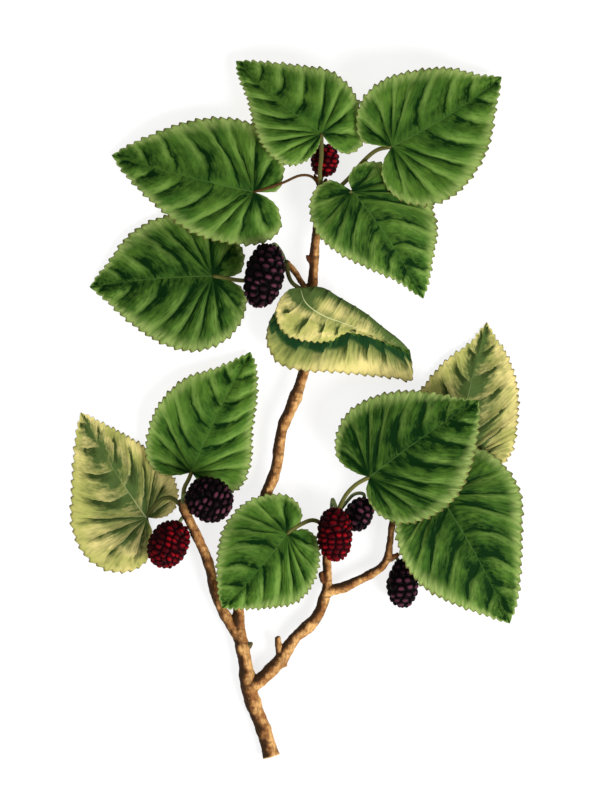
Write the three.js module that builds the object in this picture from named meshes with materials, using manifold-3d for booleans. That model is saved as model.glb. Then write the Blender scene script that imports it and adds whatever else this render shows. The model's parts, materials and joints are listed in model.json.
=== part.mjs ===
// Mulberry sprig, lying on a surface: a forked woody twig with twelve leaves and seven berries.
// Millimetres, +Z up. The cut end of the stem points along -Y, and the surface is z = 0.
import * as THREE from 'three';
import { ConvexGeometry } from 'three/addons/geometries/ConvexGeometry.js';
import { mergeVertices } from 'three/addons/utils/BufferGeometryUtils.js';
import Module from 'manifold-3d';

const wasm = await Module();
wasm.setup();

// Driving dimensions
const GAP = 0.3;                // clearance between neighbouring pieces
const BLADE_THICKNESS = 0.85;   // measured upright
const TEETH_PER_SIDE = 14;
const TOOTH_HEIGHT = 1.5;
const TOOTH_TIP = 0.7;          // where the tip sits between two notches
const PLAIN_BASE = 0.3;         // share of the margin over which the teeth grow from nothing
const PLAIN_TIP = 0.06;         // and over which they fade out again at the leaf's tip
const VEINS_PER_SIDE = 5;
const VEIN_SLANT = 0.8;         // how far a side vein runs forward for each mm sideways
const PUCKER = 1.1;             // swelling of the blade between two veins
const WAVE_HEIGHT = 0.8;        // slow waves of the margin
const WAVES = 2.5;
const RISE_WIDTH = 25;          // distance from the midrib at which a side's rise is given
const LOBE_REACH = 0.25;        // how far back the midrib's curve goes on under the base lobes
const PETIOLE_RADIUS = 0.95;
const PETIOLE_STEP = 4;
const STALK_RADIUS = 0.8;
const STALK_SIDES = 6;
const STALK_STEP = 4.4;
const STALK_FLARE = 1.15;       // the stalk widens by this where it meets the berry
const TWIG_SIDES = 7;
const TWIG_STEP = 5.2;
const NODE_SPACING = 13;        // distance between the swollen rings of the bark
const NODE_SWELL = 0.13;
const NODE_SHARPNESS = 4;       // higher makes the rings shorter
const DRUPELET_HEIGHT = 0.13;   // height of a drupelet as a share of the berry's radius
const SHOULDER = 0.58;          // where a drupelet's shoulder lies, from its centre to the crease
const SHOULDER_HEIGHT = 0.72;   // as a share of the drupelet's height
const FULLNESS = 0.18;          // how far a berry's ends are filled out beyond a ball's

// Colours
const GREEN = 0x4d8030;
const PALE_GREEN = 0xb6b564;
const STEM_GREEN = 0x5d6b35;
const BARK = 0x9a6b3c;
const DARK_FRUIT = 0x2a1020;
const RED_FRUIT = 0x8d1020;
const ROUGHNESS = { bark: 0.85, leaf: 0.6, fruit: 0.3, stalk: 0.7 };

// Woody limbs: [x, y, z of the centre line, radius]
const LIMBS = {
  mainStem: [
    [-12, -157, 3.2, 3.5], [-15.5, -145, 3.1, 3.2], [-20, -133.5, 3.2, 3.3], [-22.4, -125, 4.4, 3.5],
    [-23.7, -115, 4.8, 3], [-25.4, -106, 5.2, 2.9], [-26.6, -98, 5.4, 2.6], [-26.8, -90, 5.7, 2.3],
    [-25, -80.5, 6, 2.4], [-20.8, -66, 6.6, 2.5], [-17.4, -50, 7.2, 2.5], [-14.3, -38, 7.6, 2.5],
    [-11.8, -32.4, 7.8, 2.4], [-9.4, -24.5, 8, 2.4], [-8.1, -13.5, 8.2, 2.4], [-6.5, -7, 8.2, 2.4],
    [-3.9, -1.3, 8.3, 2.6], [-1.5, 4.5, 8.3, 2.8], [0.4, 9.5, 8.4, 2.4], [3, 19, 8.4, 2.2],
    [4.6, 33.5, 8.4, 2.1], [6, 49, 8.5, 2.1], [7, 62.5, 8.6, 2], [8, 77, 8.8, 1.9],
    [10, 89.5, 9.2, 1.8], [11, 100.5, 9.8, 1.8],
  ],
  leftShoot: [
    [-26, -104, 5.2, 2.5], [-30.8, -96.5, 5.6, 2.3], [-35.4, -88, 6, 2.2], [-38, -80, 6.5, 2.2],
    [-40, -70.5, 7.2, 2.2], [-44, -60.5, 8, 2.1], [-48.5, -51, 9, 2.1], [-51, -45.5, 9.8, 2.2],
    [-52, -40.5, 10.2, 2],
  ],
  rightShoot: [
    [-22, -126, 4.8, 3.1], [-15.8, -121.2, 5.2, 3], [-11.3, -116.8, 5.4, 2.9], [-7.4, -112.6, 5.6, 3],
    [-4, -106.8, 5.8, 2.6], [-0.6, -102.4, 5.9, 2.5], [3.8, -98.7, 6, 2.8], [8, -94.3, 6, 2.6],
    [10.8, -88.8, 6, 2.3], [13, -82.8, 6, 2.5], [20.6, -80.4, 6.2, 2.3], [27, -77.4, 6.5, 2],
    [33.5, -74, 6.9, 1.9], [38, -70.8, 7.2, 1.8], [40.4, -66.4, 7.7, 1.5], [41.3, -61, 8.2, 1.5],
    [41.9, -56, 8.7, 1.4], [42.7, -50.5, 9.1, 1.4], [44.5, -44.5, 9.6, 1.4],
  ],
  middleShoot: [
    [13, -82.8, 6, 2.2], [13.3, -73.5, 6, 1.8], [12.8, -66, 6, 1.7], [14, -57, 6.2, 1.6],
    [16.5, -50, 6.8, 1.5], [18, -46, 7.2, 1.4],
  ],
  berrySpur: [[5.5, 51.5, 8.4, 1.6], [2, 56.5, 8.2, 1.2], [-2, 62.5, 8, 1.2], [-5.8, 66.8, 7.8, 1.3]],
  brokenStub: [[-7.8, -112, 5.6, 1.8], [-8.8, -107, 6.4, 1.5], [-9.2, -102.6, 7, 1.2]],
  knot: [[-8.4, -113.4, 5.4, 2.4], [-6.4, -113.8, 5.4, 2.9], [-4.9, -113.8, 5.4, 2.3]],
  budStub: [[12.8, -78.5, 6, 1.4], [10.8, -76.5, 6.4, 1.4], [10.2, -73.5, 6.8, 0.9]],
  sideSpur: [[40, -68, 7.4, 1.4], [43, -66.8, 8, 1.3], [45.4, -65.2, 8.5, 0.9]],
  topBud: [[11, 99, 9.8, 1.7], [12, 101.8, 9.4, 1.4], [12.8, 103.6, 8.4, 0.6]],
  sideBud: [[10.6, 100, 9.8, 1.4], [8.6, 103, 10, 1.1], [7.2, 105.8, 10, 0.5]],
  stemBud: [[6.6, 66, 8.6, 1.2], [4.6, 67.6, 8.9, 1], [3.8, 69.4, 9, 0.5]],
  lowBud: [[-23.5, -107.5, 5.4, 1.5], [-21.6, -106.4, 6, 1.3], [-20.8, -105.2, 6.4, 0.7]],
};

// Leaves. `at` is where the petiole meets the blade; `heading` is the way to the tip in degrees
// from +X; `heights` are the midrib's at base, middle and tip; `rise` lifts the left and right sides;
// `left` and `right` are margin points as [along the midrib, out from it]; the petiole's points
// run from the blade to the twig.
const LEAVES = {
  leaf_top: {
    at: [10.5, 123.5], heading: 139, length: 51, bow: 1.5, heights: [19, 21, 6], rise: [-2, -3.5],
    left: [[-3, 6.5], [-2, 15], [4, 21], [15.5, 21], [25, 16.5], [35, 9.5], [44.5, 4.5]],
    right: [[-8, -1], [-15, 1.5], [-16.5, 9.5], [-10, 16.5], [1.5, 23], [15, 23.5], [27, 16.5], [39.5, 8]],
    petiole: [[10.5, 113.5, 18.4], [9.8, 105.5, 15.4], [10.6, 98.8, 10.4]],
  },
  leaf_top_right: {
    at: [42, 117.5], heading: 33, length: 59.5, bow: -2, heights: [21, 24, 5], rise: [-1, 0.5],
    left: [[-5, 4], [-9.5, 10], [-7, 17.5], [1, 24.5], [12.5, 26.5], [26, 23], [40.5, 15.5], [51.5, 5]],
    right: [[-6.5, 3.5], [-11, 10], [-10, 20.5], [-1.5, 30], [11, 33], [25, 29.5], [37.5, 22], [49, 10]],
    petiole: [[35.5, 116.2, 16.2], [29, 111, 11.6], [23.5, 104.5, 11], [17, 98.6, 10.4], [10.8, 95.4, 9.5]],
  },
  leaf_upper_left: {
    at: [-20, 97.5], heading: 165, length: 66.5, bow: 1, heights: [13.5, 17, 2], rise: [-2, -2.5],
    left: [
      [-5, 0.5], [-11.5, 3.5], [-15.5, 12.5], [-9.5, 20.5], [5.5, 24.5], [22.5, 24], [40, 17], [56.5, 7.5],
    ],
    right: [[-5, 1.5], [-10, 3.5], [-10.5, 12], [-6, 22], [6, 28.5], [21, 28.5], [36, 23], [52, 12]],
    petiole: [[-12.5, 99.5, 13.8], [-6, 102, 13], [1, 105, 12], [6, 104.6, 11], [10.4, 99.8, 9.8]],
  },
  leaf_mid_left: {
    at: [-38.5, 60], heading: -175, length: 56, bow: -1, heights: [5, 9, 0.6], rise: [-1.6, -1.8],
    left: [
      [-7, 2.5], [-13.5, 8.5], [-12.5, 17.5], [-3.5, 28.5], [11, 32.5], [25, 28], [39.5, 16.5], [49.5, 5.5],
    ],
    right: [[-6, -1], [-12.5, 1], [-14.5, 8.5], [-9, 19], [4, 26], [20.5, 28], [35.5, 21.5], [46.5, 9.5]],
    petiole: [[-32.5, 59, 4], [-24, 58, 3.2], [-14.5, 60, 3.6], [-8.5, 62.6, 5.2], [-3.4, 64.4, 7.6]],
  },
  leaf_mid_right: {
    at: [24.5, 97.5], heading: -56, length: 57.5, bow: 1.5, heights: [17.5, 18.5, 0.6], rise: [-4.5, -2.5],
    left: [[-6, 2], [-8.5, 8.5], [-4.5, 16.5], [6, 23], [21, 26], [34, 22.5], [43.5, 14], [51, 7]],
    right: [[-4.5, 2], [-9.5, 5.5], [-10, 13], [-4.5, 19.5], [6, 23], [18, 20.5], [32.5, 12.5], [45.5, 4.5]],
    petiole: [[20, 96, 15.6], [14.5, 93.5, 12], [10, 90.5, 9.4]],
  },
  leaf_low_left_pale: {
    at: [-68.5, -49], heading: 122, length: 56, bow: 1, heights: [2.6, 3, 0.6], rise: [-3.6, -0.8],
    underside: true,
    left: [[-6, 1], [-14, 6], [-17, 16], [-11.5, 26.5], [-0.5, 32], [13.5, 30.5], [27.5, 22], [43.5, 10.5]],
    right: [[-3.5, 5.5], [-3.5, 12], [2, 17.5], [13.5, 19.5], [25.5, 16.5], [38.5, 10], [48.5, 4]],
    petiole: [[-65, -44, 5], [-61, -40.5, 7], [-57, -40, 8.8], [-53.6, -42.5, 9.8], [-51.4, -45, 9.8]],
  },
  leaf_low_left: {
    at: [-48, -28.5], heading: 64, length: 60.5, bow: 1, heights: [6.4, 13, 3], rise: [-0.6, -1.9],
    left: [[-3.5, 4.5], [-6.5, 12.5], [-3, 20.5], [8, 25], [21.5, 26], [36, 21], [46.5, 10.5], [55.5, 3]],
    right: [[-2.5, 5.5], [-3, 15], [3, 22], [15.5, 21.5], [28.5, 16], [43.5, 11], [55, 5]],
    petiole: [[-49.4, -32, 7.2], [-51.2, -35.6, 8.8], [-51.6, -41.4, 9.9]],
  },
  leaf_center: {
    at: [-5, -56], heading: -131, length: 44.5, bow: 1, heights: [15, 18, 10], rise: [-2, -2.5],
    left: [[-6.5, 4.5], [-7, 11], [-1.5, 17.5], [9.5, 23], [20, 23], [30.5, 15], [38.5, 6.5]],
    right: [[-6, -1.5], [-11.5, 1.5], [-13, 9.5], [-6, 18.5], [3.5, 23], [16.5, 22.5], [28.5, 16], [38.5, 7]],
    petiole: [[1, -52, 13.4], [6.5, -50, 10.2], [10.5, -51.6, 7.8], [14.2, -55.5, 6.4]],
  },
  leaf_right: {
    at: [32, -30.5], heading: 35, length: 60, bow: 1, heights: [19, 25, 16], rise: [-1.5, -0.6],
    left: [[-4, 5.5], [-6.5, 14.5], [-2.5, 22], [8, 28.5], [21.5, 28], [35, 22], [47, 12], [54, 4.5]],
    right: [[-5, 5], [-6, 15.5], [0.5, 25], [14, 30], [28, 28.5], [40.5, 21], [52, 10]],
    petiole: [[26.5, -33.5, 17], [22, -38, 13.5], [19.5, -42.5, 10], [18, -46.5, 7.4]],
  },
  leaf_right_pale: {
    at: [70.5, -25.5], heading: 77, length: 66.5, bow: 1, heights: [5, 6, 0.6], rise: [-1.5, -2],
    underside: true,
    left: [[-5.5, 5.5], [-4, 14.5], [5, 21.5], [19.5, 24.5], [32.5, 20.5], [45.5, 13.5], [56, 4.5]],
    right: [[-2, 7.5], [2, 17], [10, 23], [24, 23], [40.5, 19.5], [54.5, 11], [60.5, 4.5]],
    petiole: [[61, -31, 5.6], [52, -37.5, 6.8], [44.8, -43.4, 9.2]],
  },
  leaf_low_right: {
    at: [63, -38], heading: -61, length: 67.5, bow: 1.5, heights: [13.5, 15.5, 0.6], rise: [-4, 3],
    left: [[-7, 7], [-10, 17.5], [-7, 27], [5, 32], [18.5, 32], [33, 24.5], [46.5, 16.5], [58.5, 8.5]],
    right: [[-5.5, 5], [-5.5, 14.5], [3, 23], [17, 27.5], [32.5, 26], [46.5, 17.5], [60, 6]],
    petiole: [[56, -41, 12.4], [49, -45, 11.4], [43.6, -49, 9.3]],
  },
};

// The folded leaf, as [x, y, z] in the sprig's own frame: the front half hangs from the midrib,
// the other half turns over the fold edge and comes down behind it.
const FOLDED = {
  midrib: [
    [1, 54.5, 19], [3.5, 47.5, 20.5], [10.5, 42, 21.5], [21, 38, 20.5], [34.5, 33, 16.5], [50.5, 26, 9],
  ],
  front: [
    [1, 54.5, 19], [-4, 53.5, 18.8], [-9, 47, 18.6], [-9, 40, 18.4], [-5, 34, 18], [4, 31, 17.8],
    [14.5, 31, 17.4], [22, 34.5, 17], [31, 33, 15], [41, 29.5, 12], [50.5, 26, 9],
  ],
  fold: [
    [1, 54.5, 19], [11, 54.5, 18.6], [18, 50.5, 18], [30.5, 43, 16.4], [38, 37, 14], [46.5, 30.5, 10.6],
    [50.5, 26, 9],
  ],
  back: [
    [1, 54.5, 19], [-6.5, 48, 14.6], [-12.3, 40, 13.4], [-13.6, 30.5, 12.8], [-8.5, 21.2, 12.4],
    [3, 17.8, 12], [15.5, 17.3, 11], [31, 15.8, 8.4], [44, 14.4, 6], [50.8, 13.4, 5.4], [51.4, 19.5, 6.4],
    [50.5, 26, 9],
  ],
  turnHeight: 2.2,    // the blade's height above the fold edge, just before it turns
  turnDrop: 3,        // and below it, just after
  crowding: 1.6,      // rows start closer together on the midrib than they end on the margin
  beforeTurn: 0.75,   // how far each row has gone from the midrib to the fold when it starts to turn
  afterTurn: 0.25,    // and from the fold to the back margin when it has turned
  backSwell: 0.55,    // where the back half swells, from there to the margin
  flatness: 0.7,      // its swelling and thickness beside those of a flat leaf
  petiole: [[1, 54, 18.4], [-2.4, 56.4, 15.6], [-4.4, 60.5, 11], [-5.2, 66.4, 7.9]],
};

// Berries: `at` is the middle, `axis` the way from tip to stalk in degrees from +X, `radius` and
// `reach` the half width and half length, `taper` narrows the stalk end; the stalk's points run
// from the twig to the berry.
const BERRIES = {
  berry_top: {
    at: [12, 112, 8.2], axis: -95, radius: 5.9, reach: 6.8, taper: 0, drupelets: 22, colour: RED_FRUIT,
    stalk: [[10.6, 99, 8.6], [10.4, 102.6, 5.8], [11.4, 107.4, 6.8]],
  },
  berry_upper_left: {
    at: [-15.2, 59.9, 15.2], axis: 78, radius: 8.2, reach: 13.4, taper: 0, drupelets: 40, colour: DARK_FRUIT,
    stalk: [[-5.9, 66.9, 7.8], [-7.5, 70.6, 8.2], [-10.5, 74.2, 10.8], [-12.2, 72.4, 14.6]],
  },
  berry_left_dark: {
    at: [-39.8, -40.6, 16.6], axis: 150, radius: 9.3, reach: 9.8, taper: 0, drupelets: 32, colour: DARK_FRUIT,
    stalk: [[-51.6, -43.5, 10], [-51.5, -39.5, 14.4], [-47, -37, 16.4]],
  },
  berry_left_red: {
    at: [-58.3, -60.9, 9.4], axis: 62, radius: 8.3, reach: 10.2, taper: 0, drupelets: 32, colour: RED_FRUIT,
    stalk: [[-50.4, -47, 9.4], [-52.4, -49.4, 8.8], [-54.8, -53.4, 9]],
  },
  berry_middle_red: {
    at: [16.5, -56.2, 17.4], axis: 92, radius: 7.3, reach: 11, taper: 0, drupelets: 34, colour: RED_FRUIT,
    stalk: [[16.4, -49.8, 6.8], [15.2, -45.2, 8], [15.6, -40.6, 12.2], [17.6, -46, 17]],
  },
  berry_right_hidden: {
    at: [27.5, -47.4, 7], axis: 60, radius: 6, reach: 7.4, taper: 0.1, drupelets: 22, colour: DARK_FRUIT,
    stalk: [[17, -48.4, 6.6], [20.6, -43.6, 5], [25.5, -38.4, 5.2], [29.6, -38.4, 6.4], [29.8, -42, 6.8]],
  },
  berry_low_right: {
    at: [47, -78.5, 7.4], axis: 92, radius: 6.7, reach: 10, taper: 0.3, drupelets: 26, colour: DARK_FRUIT,
    stalk: [[41.5, -66.2, 7.6], [44.2, -66.8, 7], [46.2, -71, 7.2]],
  },
};

// Boolean helpers
function toSolid(geometry) {
  const bare = geometry.clone();
  bare.deleteAttribute('normal');
  bare.deleteAttribute('uv');
  const welded = mergeVertices(bare, 1e-4);
  const vertProperties = new Float32Array(welded.attributes.position.array);
  const corners = welded.index.array;
  const kept = [];
  for (let i = 0; i < corners.length; i += 3) {
    const [a, b, c] = [corners[i], corners[i + 1], corners[i + 2]];
    if (a !== b && b !== c && c !== a) kept.push(a, b, c);
  }
  const mesh = new wasm.Mesh({ numProp: 3, vertProperties, triVerts: new Uint32Array(kept) });
  return new wasm.Manifold(mesh);
}

function largestPiece(solid) {
  return solid.decompose().reduce((a, b) => (a.volume() > b.volume() ? a : b));
}

function toMesh(name, solid, colour, roughness) {
  const { vertProperties, triVerts } = solid.getMesh();
  const geometry = new THREE.BufferGeometry();
  geometry.setAttribute('position', new THREE.BufferAttribute(new Float32Array(vertProperties), 3));
  geometry.setIndex(new THREE.BufferAttribute(new Uint32Array(triVerts), 1));
  const material = new THREE.MeshStandardMaterial({ color: colour, roughness, metalness: 0 });
  const mesh = new THREE.Mesh(geometry, material);
  mesh.name = name;
  return mesh;
}

// Triangles between rows of points that all have the same length; closed rows are rings
function gridTriangles(rowCount, rowLength, closed, index) {
  const strips = closed ? rowLength : rowLength - 1;
  const triangles = [];
  for (let j = 0; j + 1 < rowCount; j += 1) {
    for (let i = 0; i < strips; i += 1) {
      const next = (i + 1) % rowLength;
      const [a, b, c, d] = [index(j, i), index(j, next), index(j + 1, next), index(j + 1, i)];
      triangles.push(a, b, c, a, c, d);
    }
  }
  return triangles;
}

function geometryOf(points, triangles) {
  const geometry = new THREE.BufferGeometry().setFromPoints(points);
  geometry.setIndex(triangles);
  return geometry;
}

const vectors = (points) => points.map(([x, y, z = 0]) => new THREE.Vector3(x, y, z));
const smoothCurve = (points) => new THREE.CatmullRomCurve3(vectors(points), false, 'centripetal');

// A round limb along a smooth line, with its radius given at each point
function limb(points, sides, step, grow = 0, swell = 0) {
  const curve = smoothCurve(points);
  const length = curve.getLength();
  const steps = Math.max(2, Math.round(length / step));
  const frames = curve.computeFrenetFrames(steps, false);
  const rings = [];
  for (let j = 0; j <= steps; j += 1) {
    const t = curve.getUtoTmapping(j / steps) * (points.length - 1);
    const k = Math.min(Math.floor(t), points.length - 2);
    const base = THREE.MathUtils.lerp(points[k][3], points[k + 1][3], t - k);
    const along = (j / steps) * length;
    const ring = 0.5 + 0.5 * Math.cos((2 * Math.PI * along) / NODE_SPACING);
    const radius = base * (1 + swell * ring ** NODE_SHARPNESS) + grow;
    const centre = curve.getPointAt(j / steps);
    if (j === 0) centre.addScaledVector(frames.tangents[0], -grow);
    if (j === steps) centre.addScaledVector(frames.tangents[steps], grow);
    for (let i = 0; i < sides; i += 1) {
      const angle = (2 * Math.PI * i) / sides;
      rings.push(centre.clone()
        .addScaledVector(frames.normals[j], radius * Math.cos(angle))
        .addScaledVector(frames.binormals[j], radius * Math.sin(angle)));
    }
  }
  const triangles = gridTriangles(steps + 1, sides, true, (j, i) => j * sides + i);
  const last = steps * sides;
  for (let i = 1; i + 1 < sides; i += 1) {
    triangles.push(0, i + 1, i, last, last + i, last + i + 1);
  }
  return toSolid(geometryOf(rings, triangles));
}

function thinStem(points, radius) {
  const last = points.length - 1;
  const tapered = points.map(([x, y, z], k) => [x, y, z, radius * (k === last ? STALK_FLARE : 1)]);
  return limb(tapered, STALK_SIDES, STALK_STEP);
}

// The twig: all limbs joined, with the underside planed flat where it rests
function twig(grow) {
  const whole = Object.values(LIMBS)
    .map((points) => limb(points, TWIG_SIDES, TWIG_STEP, grow, NODE_SWELL))
    .reduce((a, b) => a.add(b));
  const [width, depth] = [400, 20];
  const belowSurface = new THREE.BoxGeometry(width, width, depth).translate(0, 0, -depth / 2);
  return whole.subtract(toSolid(belowSurface));
}

// Margin height of the saw teeth at u, from 0 at the base to 1 at the tip of the leaf
function toothHeight(u) {
  const phase = (u * TEETH_PER_SIDE) % 1;
  const shape = phase < TOOTH_TIP ? phase / TOOTH_TIP : (1 - phase) / (1 - TOOTH_TIP);
  const fade = Math.min(1, u / PLAIN_BASE) * Math.min(1, (1 - u) / PLAIN_TIP);
  return TOOTH_HEIGHT * shape * fade;
}

// Places along the margin that a blade's rows run to: each tooth's tip and the notch after it
function rowPlaces() {
  const places = [];
  for (let k = 0; k < TEETH_PER_SIDE; k += 1) {
    places.push((k + TOOTH_TIP) / TEETH_PER_SIDE, (k + 1) / TEETH_PER_SIDE);
  }
  return places;
}

function marginPoint(curve, u) {
  const point = curve.getPointAt(u);
  const tangent = curve.getTangentAt(u);
  return new THREE.Vector2(point.x - tangent.y * toothHeight(u), point.y + tangent.x * toothHeight(u));
}

// Height of a flat leaf's upper face above the surface
function bladeHeight(leaf, along, across, u, r) {
  const t = THREE.MathUtils.clamp(along / leaf.length, -LOBE_REACH, 1);
  const [base, middle, tip] = leaf.heights;
  const midrib = base * (1 - t) ** 2 + 2 * middle * t * (1 - t) + tip * t * t;
  const rise = leaf.rise[across > 0 ? 0 : 1] * (across / RISE_WIDTH) ** 2;
  const swell = Math.sin(Math.PI * VEINS_PER_SIDE * u) ** 2 * Math.sin(Math.PI * Math.min(r, 1));
  const pucker = (leaf.underside ? -PUCKER : PUCKER) * swell;
  const wave = Math.sin(2 * Math.PI * WAVES * u + leaf.heading) * Math.sin(Math.PI * u) * r ** 3;
  return midrib + rise + pucker + WAVE_HEIGHT * wave;
}

// The midrib is as deep as the petiole where they meet, and thins out towards the tip
function midribDepth(t) {
  return BLADE_THICKNESS + (2 * PETIOLE_RADIUS - BLADE_THICKNESS) * (1 - t) ** 3;
}

// Rings round a petiole, from the twig to the blade. Each has an upper and a lower half with
// `half` corners, like the rows of the blade that it runs into.
function petioleRings(points, half) {
  const curve = smoothCurve(points);
  const steps = Math.max(3, Math.round(curve.getLength() / PETIOLE_STEP));
  const up = new THREE.Vector3(0, 0, 1);
  const rings = [];
  for (let j = 0; j <= steps; j += 1) {
    const along = curve.getTangentAt(j / steps);
    const left = up.clone().cross(along).normalize();
    const over = along.clone().cross(left);
    const centre = curve.getPointAt(j / steps);
    const ring = [];
    for (let k = 0; k < 2 * half; k += 1) {
      const angle = Math.PI * (1 - (k + 0.5) / half);
      ring.push(centre.clone()
        .addScaledVector(left, -PETIOLE_RADIUS * Math.cos(angle))
        .addScaledVector(over, PETIOLE_RADIUS * Math.sin(angle)));
    }
    rings.push(ring);
  }
  return rings;
}

// One closed body from rings of points: capped at the first, drawn to a point at the last
function skin(rings) {
  const size = rings[0].length;
  const triangles = gridTriangles(rings.length, size, true, (j, i) => j * size + i);
  for (let i = 1; i + 1 < size; i += 1) triangles.push(0, i + 1, i);
  const solid = toSolid(geometryOf(rings.flat(), triangles));
  if (solid.volume() > 0) return solid;
  for (let i = 0; i < triangles.length; i += 3) {
    [triangles[i + 1], triangles[i + 2]] = [triangles[i + 2], triangles[i + 1]];
  }
  return toSolid(geometryOf(rings.flat(), triangles));
}

// A leaf as one closed body: the petiole's rings, then the blade's rows, each of which runs from
// the left margin over the midrib to the right margin and back along the underside
function leafSolid(leaf, sleeve) {
  const columns = [-1, -0.5, 0, 0.5, 1];
  const edge = {};
  for (const side of ['left', 'right']) {
    edge[side] = smoothCurve([[0, 0], ...leaf[side], [leaf.length, 0]]);
  }
  const turn = THREE.MathUtils.degToRad(leaf.heading);
  const base = [...leaf.at, leaf.heights[0] - PETIOLE_RADIUS];
  const rings = petioleRings([...leaf.petiole].reverse().concat([base]), columns.length);
  const [upperRoot, lowerRoot] = [rings.at(-1)[2], rings.at(-1)[7]];
  for (const u of rowPlaces()) {
    const ends = { left: marginPoint(edge.left, u), right: marginPoint(edge.right, u) };
    const reach = (end) => (end.x - VEIN_SLANT * end.y) / leaf.length;
    const t = THREE.MathUtils.clamp((reach(ends.left) + reach(ends.right)) / 2, 0, 1);
    const root = new THREE.Vector2(t * leaf.length, 4 * leaf.bow * t * (1 - t));
    const upper = [];
    const lower = [];
    for (const column of columns) {
      const end = column < 0 ? ends.left : ends.right;
      const sign = column < 0 ? 1 : -1;
      const r = u === 1 ? 0 : Math.abs(column);
      const along = root.x + (end.x - root.x) * r;
      const across = root.y + (sign * end.y - root.y) * r;
      const depth = r === 0 ? midribDepth(t) : BLADE_THICKNESS;
      const z = Math.max(bladeHeight(leaf, along, across, u, r), depth);
      const x = leaf.at[0] + along * Math.cos(turn) - across * Math.sin(turn);
      const y = leaf.at[1] + along * Math.sin(turn) + across * Math.cos(turn);
      const atRoot = r === 0 && t === 0;
      upper.push(atRoot ? upperRoot : new THREE.Vector3(x, y, z));
      lower.push(atRoot ? lowerRoot : new THREE.Vector3(x, y, z - depth));
    }
    rings.push([...upper, ...lower.reverse()]);
  }
  return largestPiece(skin(rings).subtract(sleeve));
}

// Pushes a margin point outwards, away from the row's root, by the height of its tooth
function toothed(point, root, u) {
  const outward = point.clone().sub(root);
  return point.clone().addScaledVector(outward, toothHeight(u) / Math.max(outward.length(), 1));
}

function foldedLeafSolid(sleeve) {
  const line = {};
  for (const name of ['midrib', 'front', 'fold', 'back']) line[name] = smoothCurve(FOLDED[name]);
  const sheet = [];
  for (const u of rowPlaces()) {
    const root = line.midrib.getPointAt(u ** FOLDED.crowding);
    const turnAt = line.fold.getPointAt(u ** FOLDED.crowding);
    const front = toothed(line.front.getPointAt(u), root, u);
    const back = toothed(line.back.getPointAt(u), turnAt, u);
    const fade = Math.sin(Math.PI * u) ** 0.5;
    const before = root.clone().lerp(turnAt, FOLDED.beforeTurn);
    before.z += FOLDED.turnHeight * fade;
    const after = turnAt.clone().lerp(back, FOLDED.afterTurn);
    after.z = turnAt.z - FOLDED.turnDrop * fade;
    const swell = FOLDED.flatness * PUCKER * Math.sin(Math.PI * VEINS_PER_SIDE * u) ** 2;
    const middle = root.clone().lerp(front, 0.5);
    middle.z += swell;
    const behind = after.clone().lerp(back, FOLDED.backSwell);
    behind.z -= swell;
    sheet.push([back, behind, after, turnAt, before, root, middle, front]);
  }
  const tip = line.midrib.getPointAt(1);
  sheet[sheet.length - 1] = sheet[0].map(() => tip.clone());
  const rings = petioleRings([...FOLDED.petiole].reverse(), sheet[0].length);
  return largestPiece(skin(rings.concat(thickened(sheet))).subtract(sleeve));
}

// Rows of a sheet with its other face added, at the blade's thickness along the sheet's normals
function thickened(sheet) {
  const width = sheet[0].length;
  const index = (j, i) => j * width + i;
  const surface = geometryOf(sheet.flat(), gridTriangles(sheet.length, width, false, index));
  surface.computeVertexNormals();
  const normals = surface.attributes.normal;
  return sheet.map((row, j) => {
    const other = row.map((point, i) => {
      const normal = new THREE.Vector3().fromBufferAttribute(normals, index(j, i));
      if (j === sheet.length - 1) normal.set(0, 0, 1);
      return point.clone().addScaledVector(normal, -FOLDED.flatness * BLADE_THICKNESS);
    });
    return [...row, ...other.reverse()];
  });
}

// Evenly spread directions, in a spiral from one pole to the other
function spread(count) {
  const golden = Math.PI * (3 - Math.sqrt(5));
  return Array.from({ length: count }, (_, k) => {
    const y = 1 - (2 * (k + 0.5)) / count;
    const ring = Math.sqrt(1 - y * y);
    return new THREE.Vector3(ring * Math.cos(golden * k), y, ring * Math.sin(golden * k));
  });
}

// A berry as one body whose whole surface is drupelets: every drupelet is a dome over the patch
// of directions nearest to its own, and the dark creases run where three of them meet
function berrySolid(berry, grow = 0) {
  const centres = spread(berry.drupelets);
  const patches = new ConvexGeometry(centres).attributes.position;
  const directions = centres.map((direction) => ({ direction, height: 1 }));
  for (let i = 0; i < patches.count; i += 3) {
    const corners = [0, 1, 2].map((k) => new THREE.Vector3().fromBufferAttribute(patches, i + k));
    const [a, b, c] = corners;
    const crease = b.clone().sub(a).cross(c.clone().sub(a)).normalize();
    directions.push({ direction: crease, height: 0 });
    for (const corner of corners) {
      const shoulder = corner.clone().lerp(crease, SHOULDER).normalize();
      directions.push({ direction: shoulder, height: SHOULDER_HEIGHT });
    }
  }
  const hull = mergeVertices(withoutNormals(new ConvexGeometry(directions.map((d) => d.direction))), 1e-5);
  const position = hull.attributes.position;
  const place = berryPlacement(berry);
  for (let i = 0; i < position.count; i += 1) {
    const direction = new THREE.Vector3().fromBufferAttribute(position, i);
    const nearest = directions.reduce((a, b) => (
      a.direction.distanceToSquared(direction) < b.direction.distanceToSquared(direction) ? a : b));
    const ring = Math.sqrt(Math.max(0, 1 - direction.y ** 2));
    const fullness = ring > 0 ? ring ** -FULLNESS : 1;
    const narrow = 1 - berry.taper * Math.max(0, direction.y);
    const relief = 1 + DRUPELET_HEIGHT * nearest.height;
    const round = (berry.radius + grow) * relief * fullness * narrow;
    const point = new THREE.Vector3(
      direction.x * round, direction.y * (berry.reach * relief + grow), direction.z * round);
    point.applyMatrix4(place);
    position.setXYZ(i, point.x, point.y, point.z);
  }
  return toSolid(hull);
}

function withoutNormals(geometry) {
  geometry.deleteAttribute('normal');
  return geometry;
}

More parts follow.
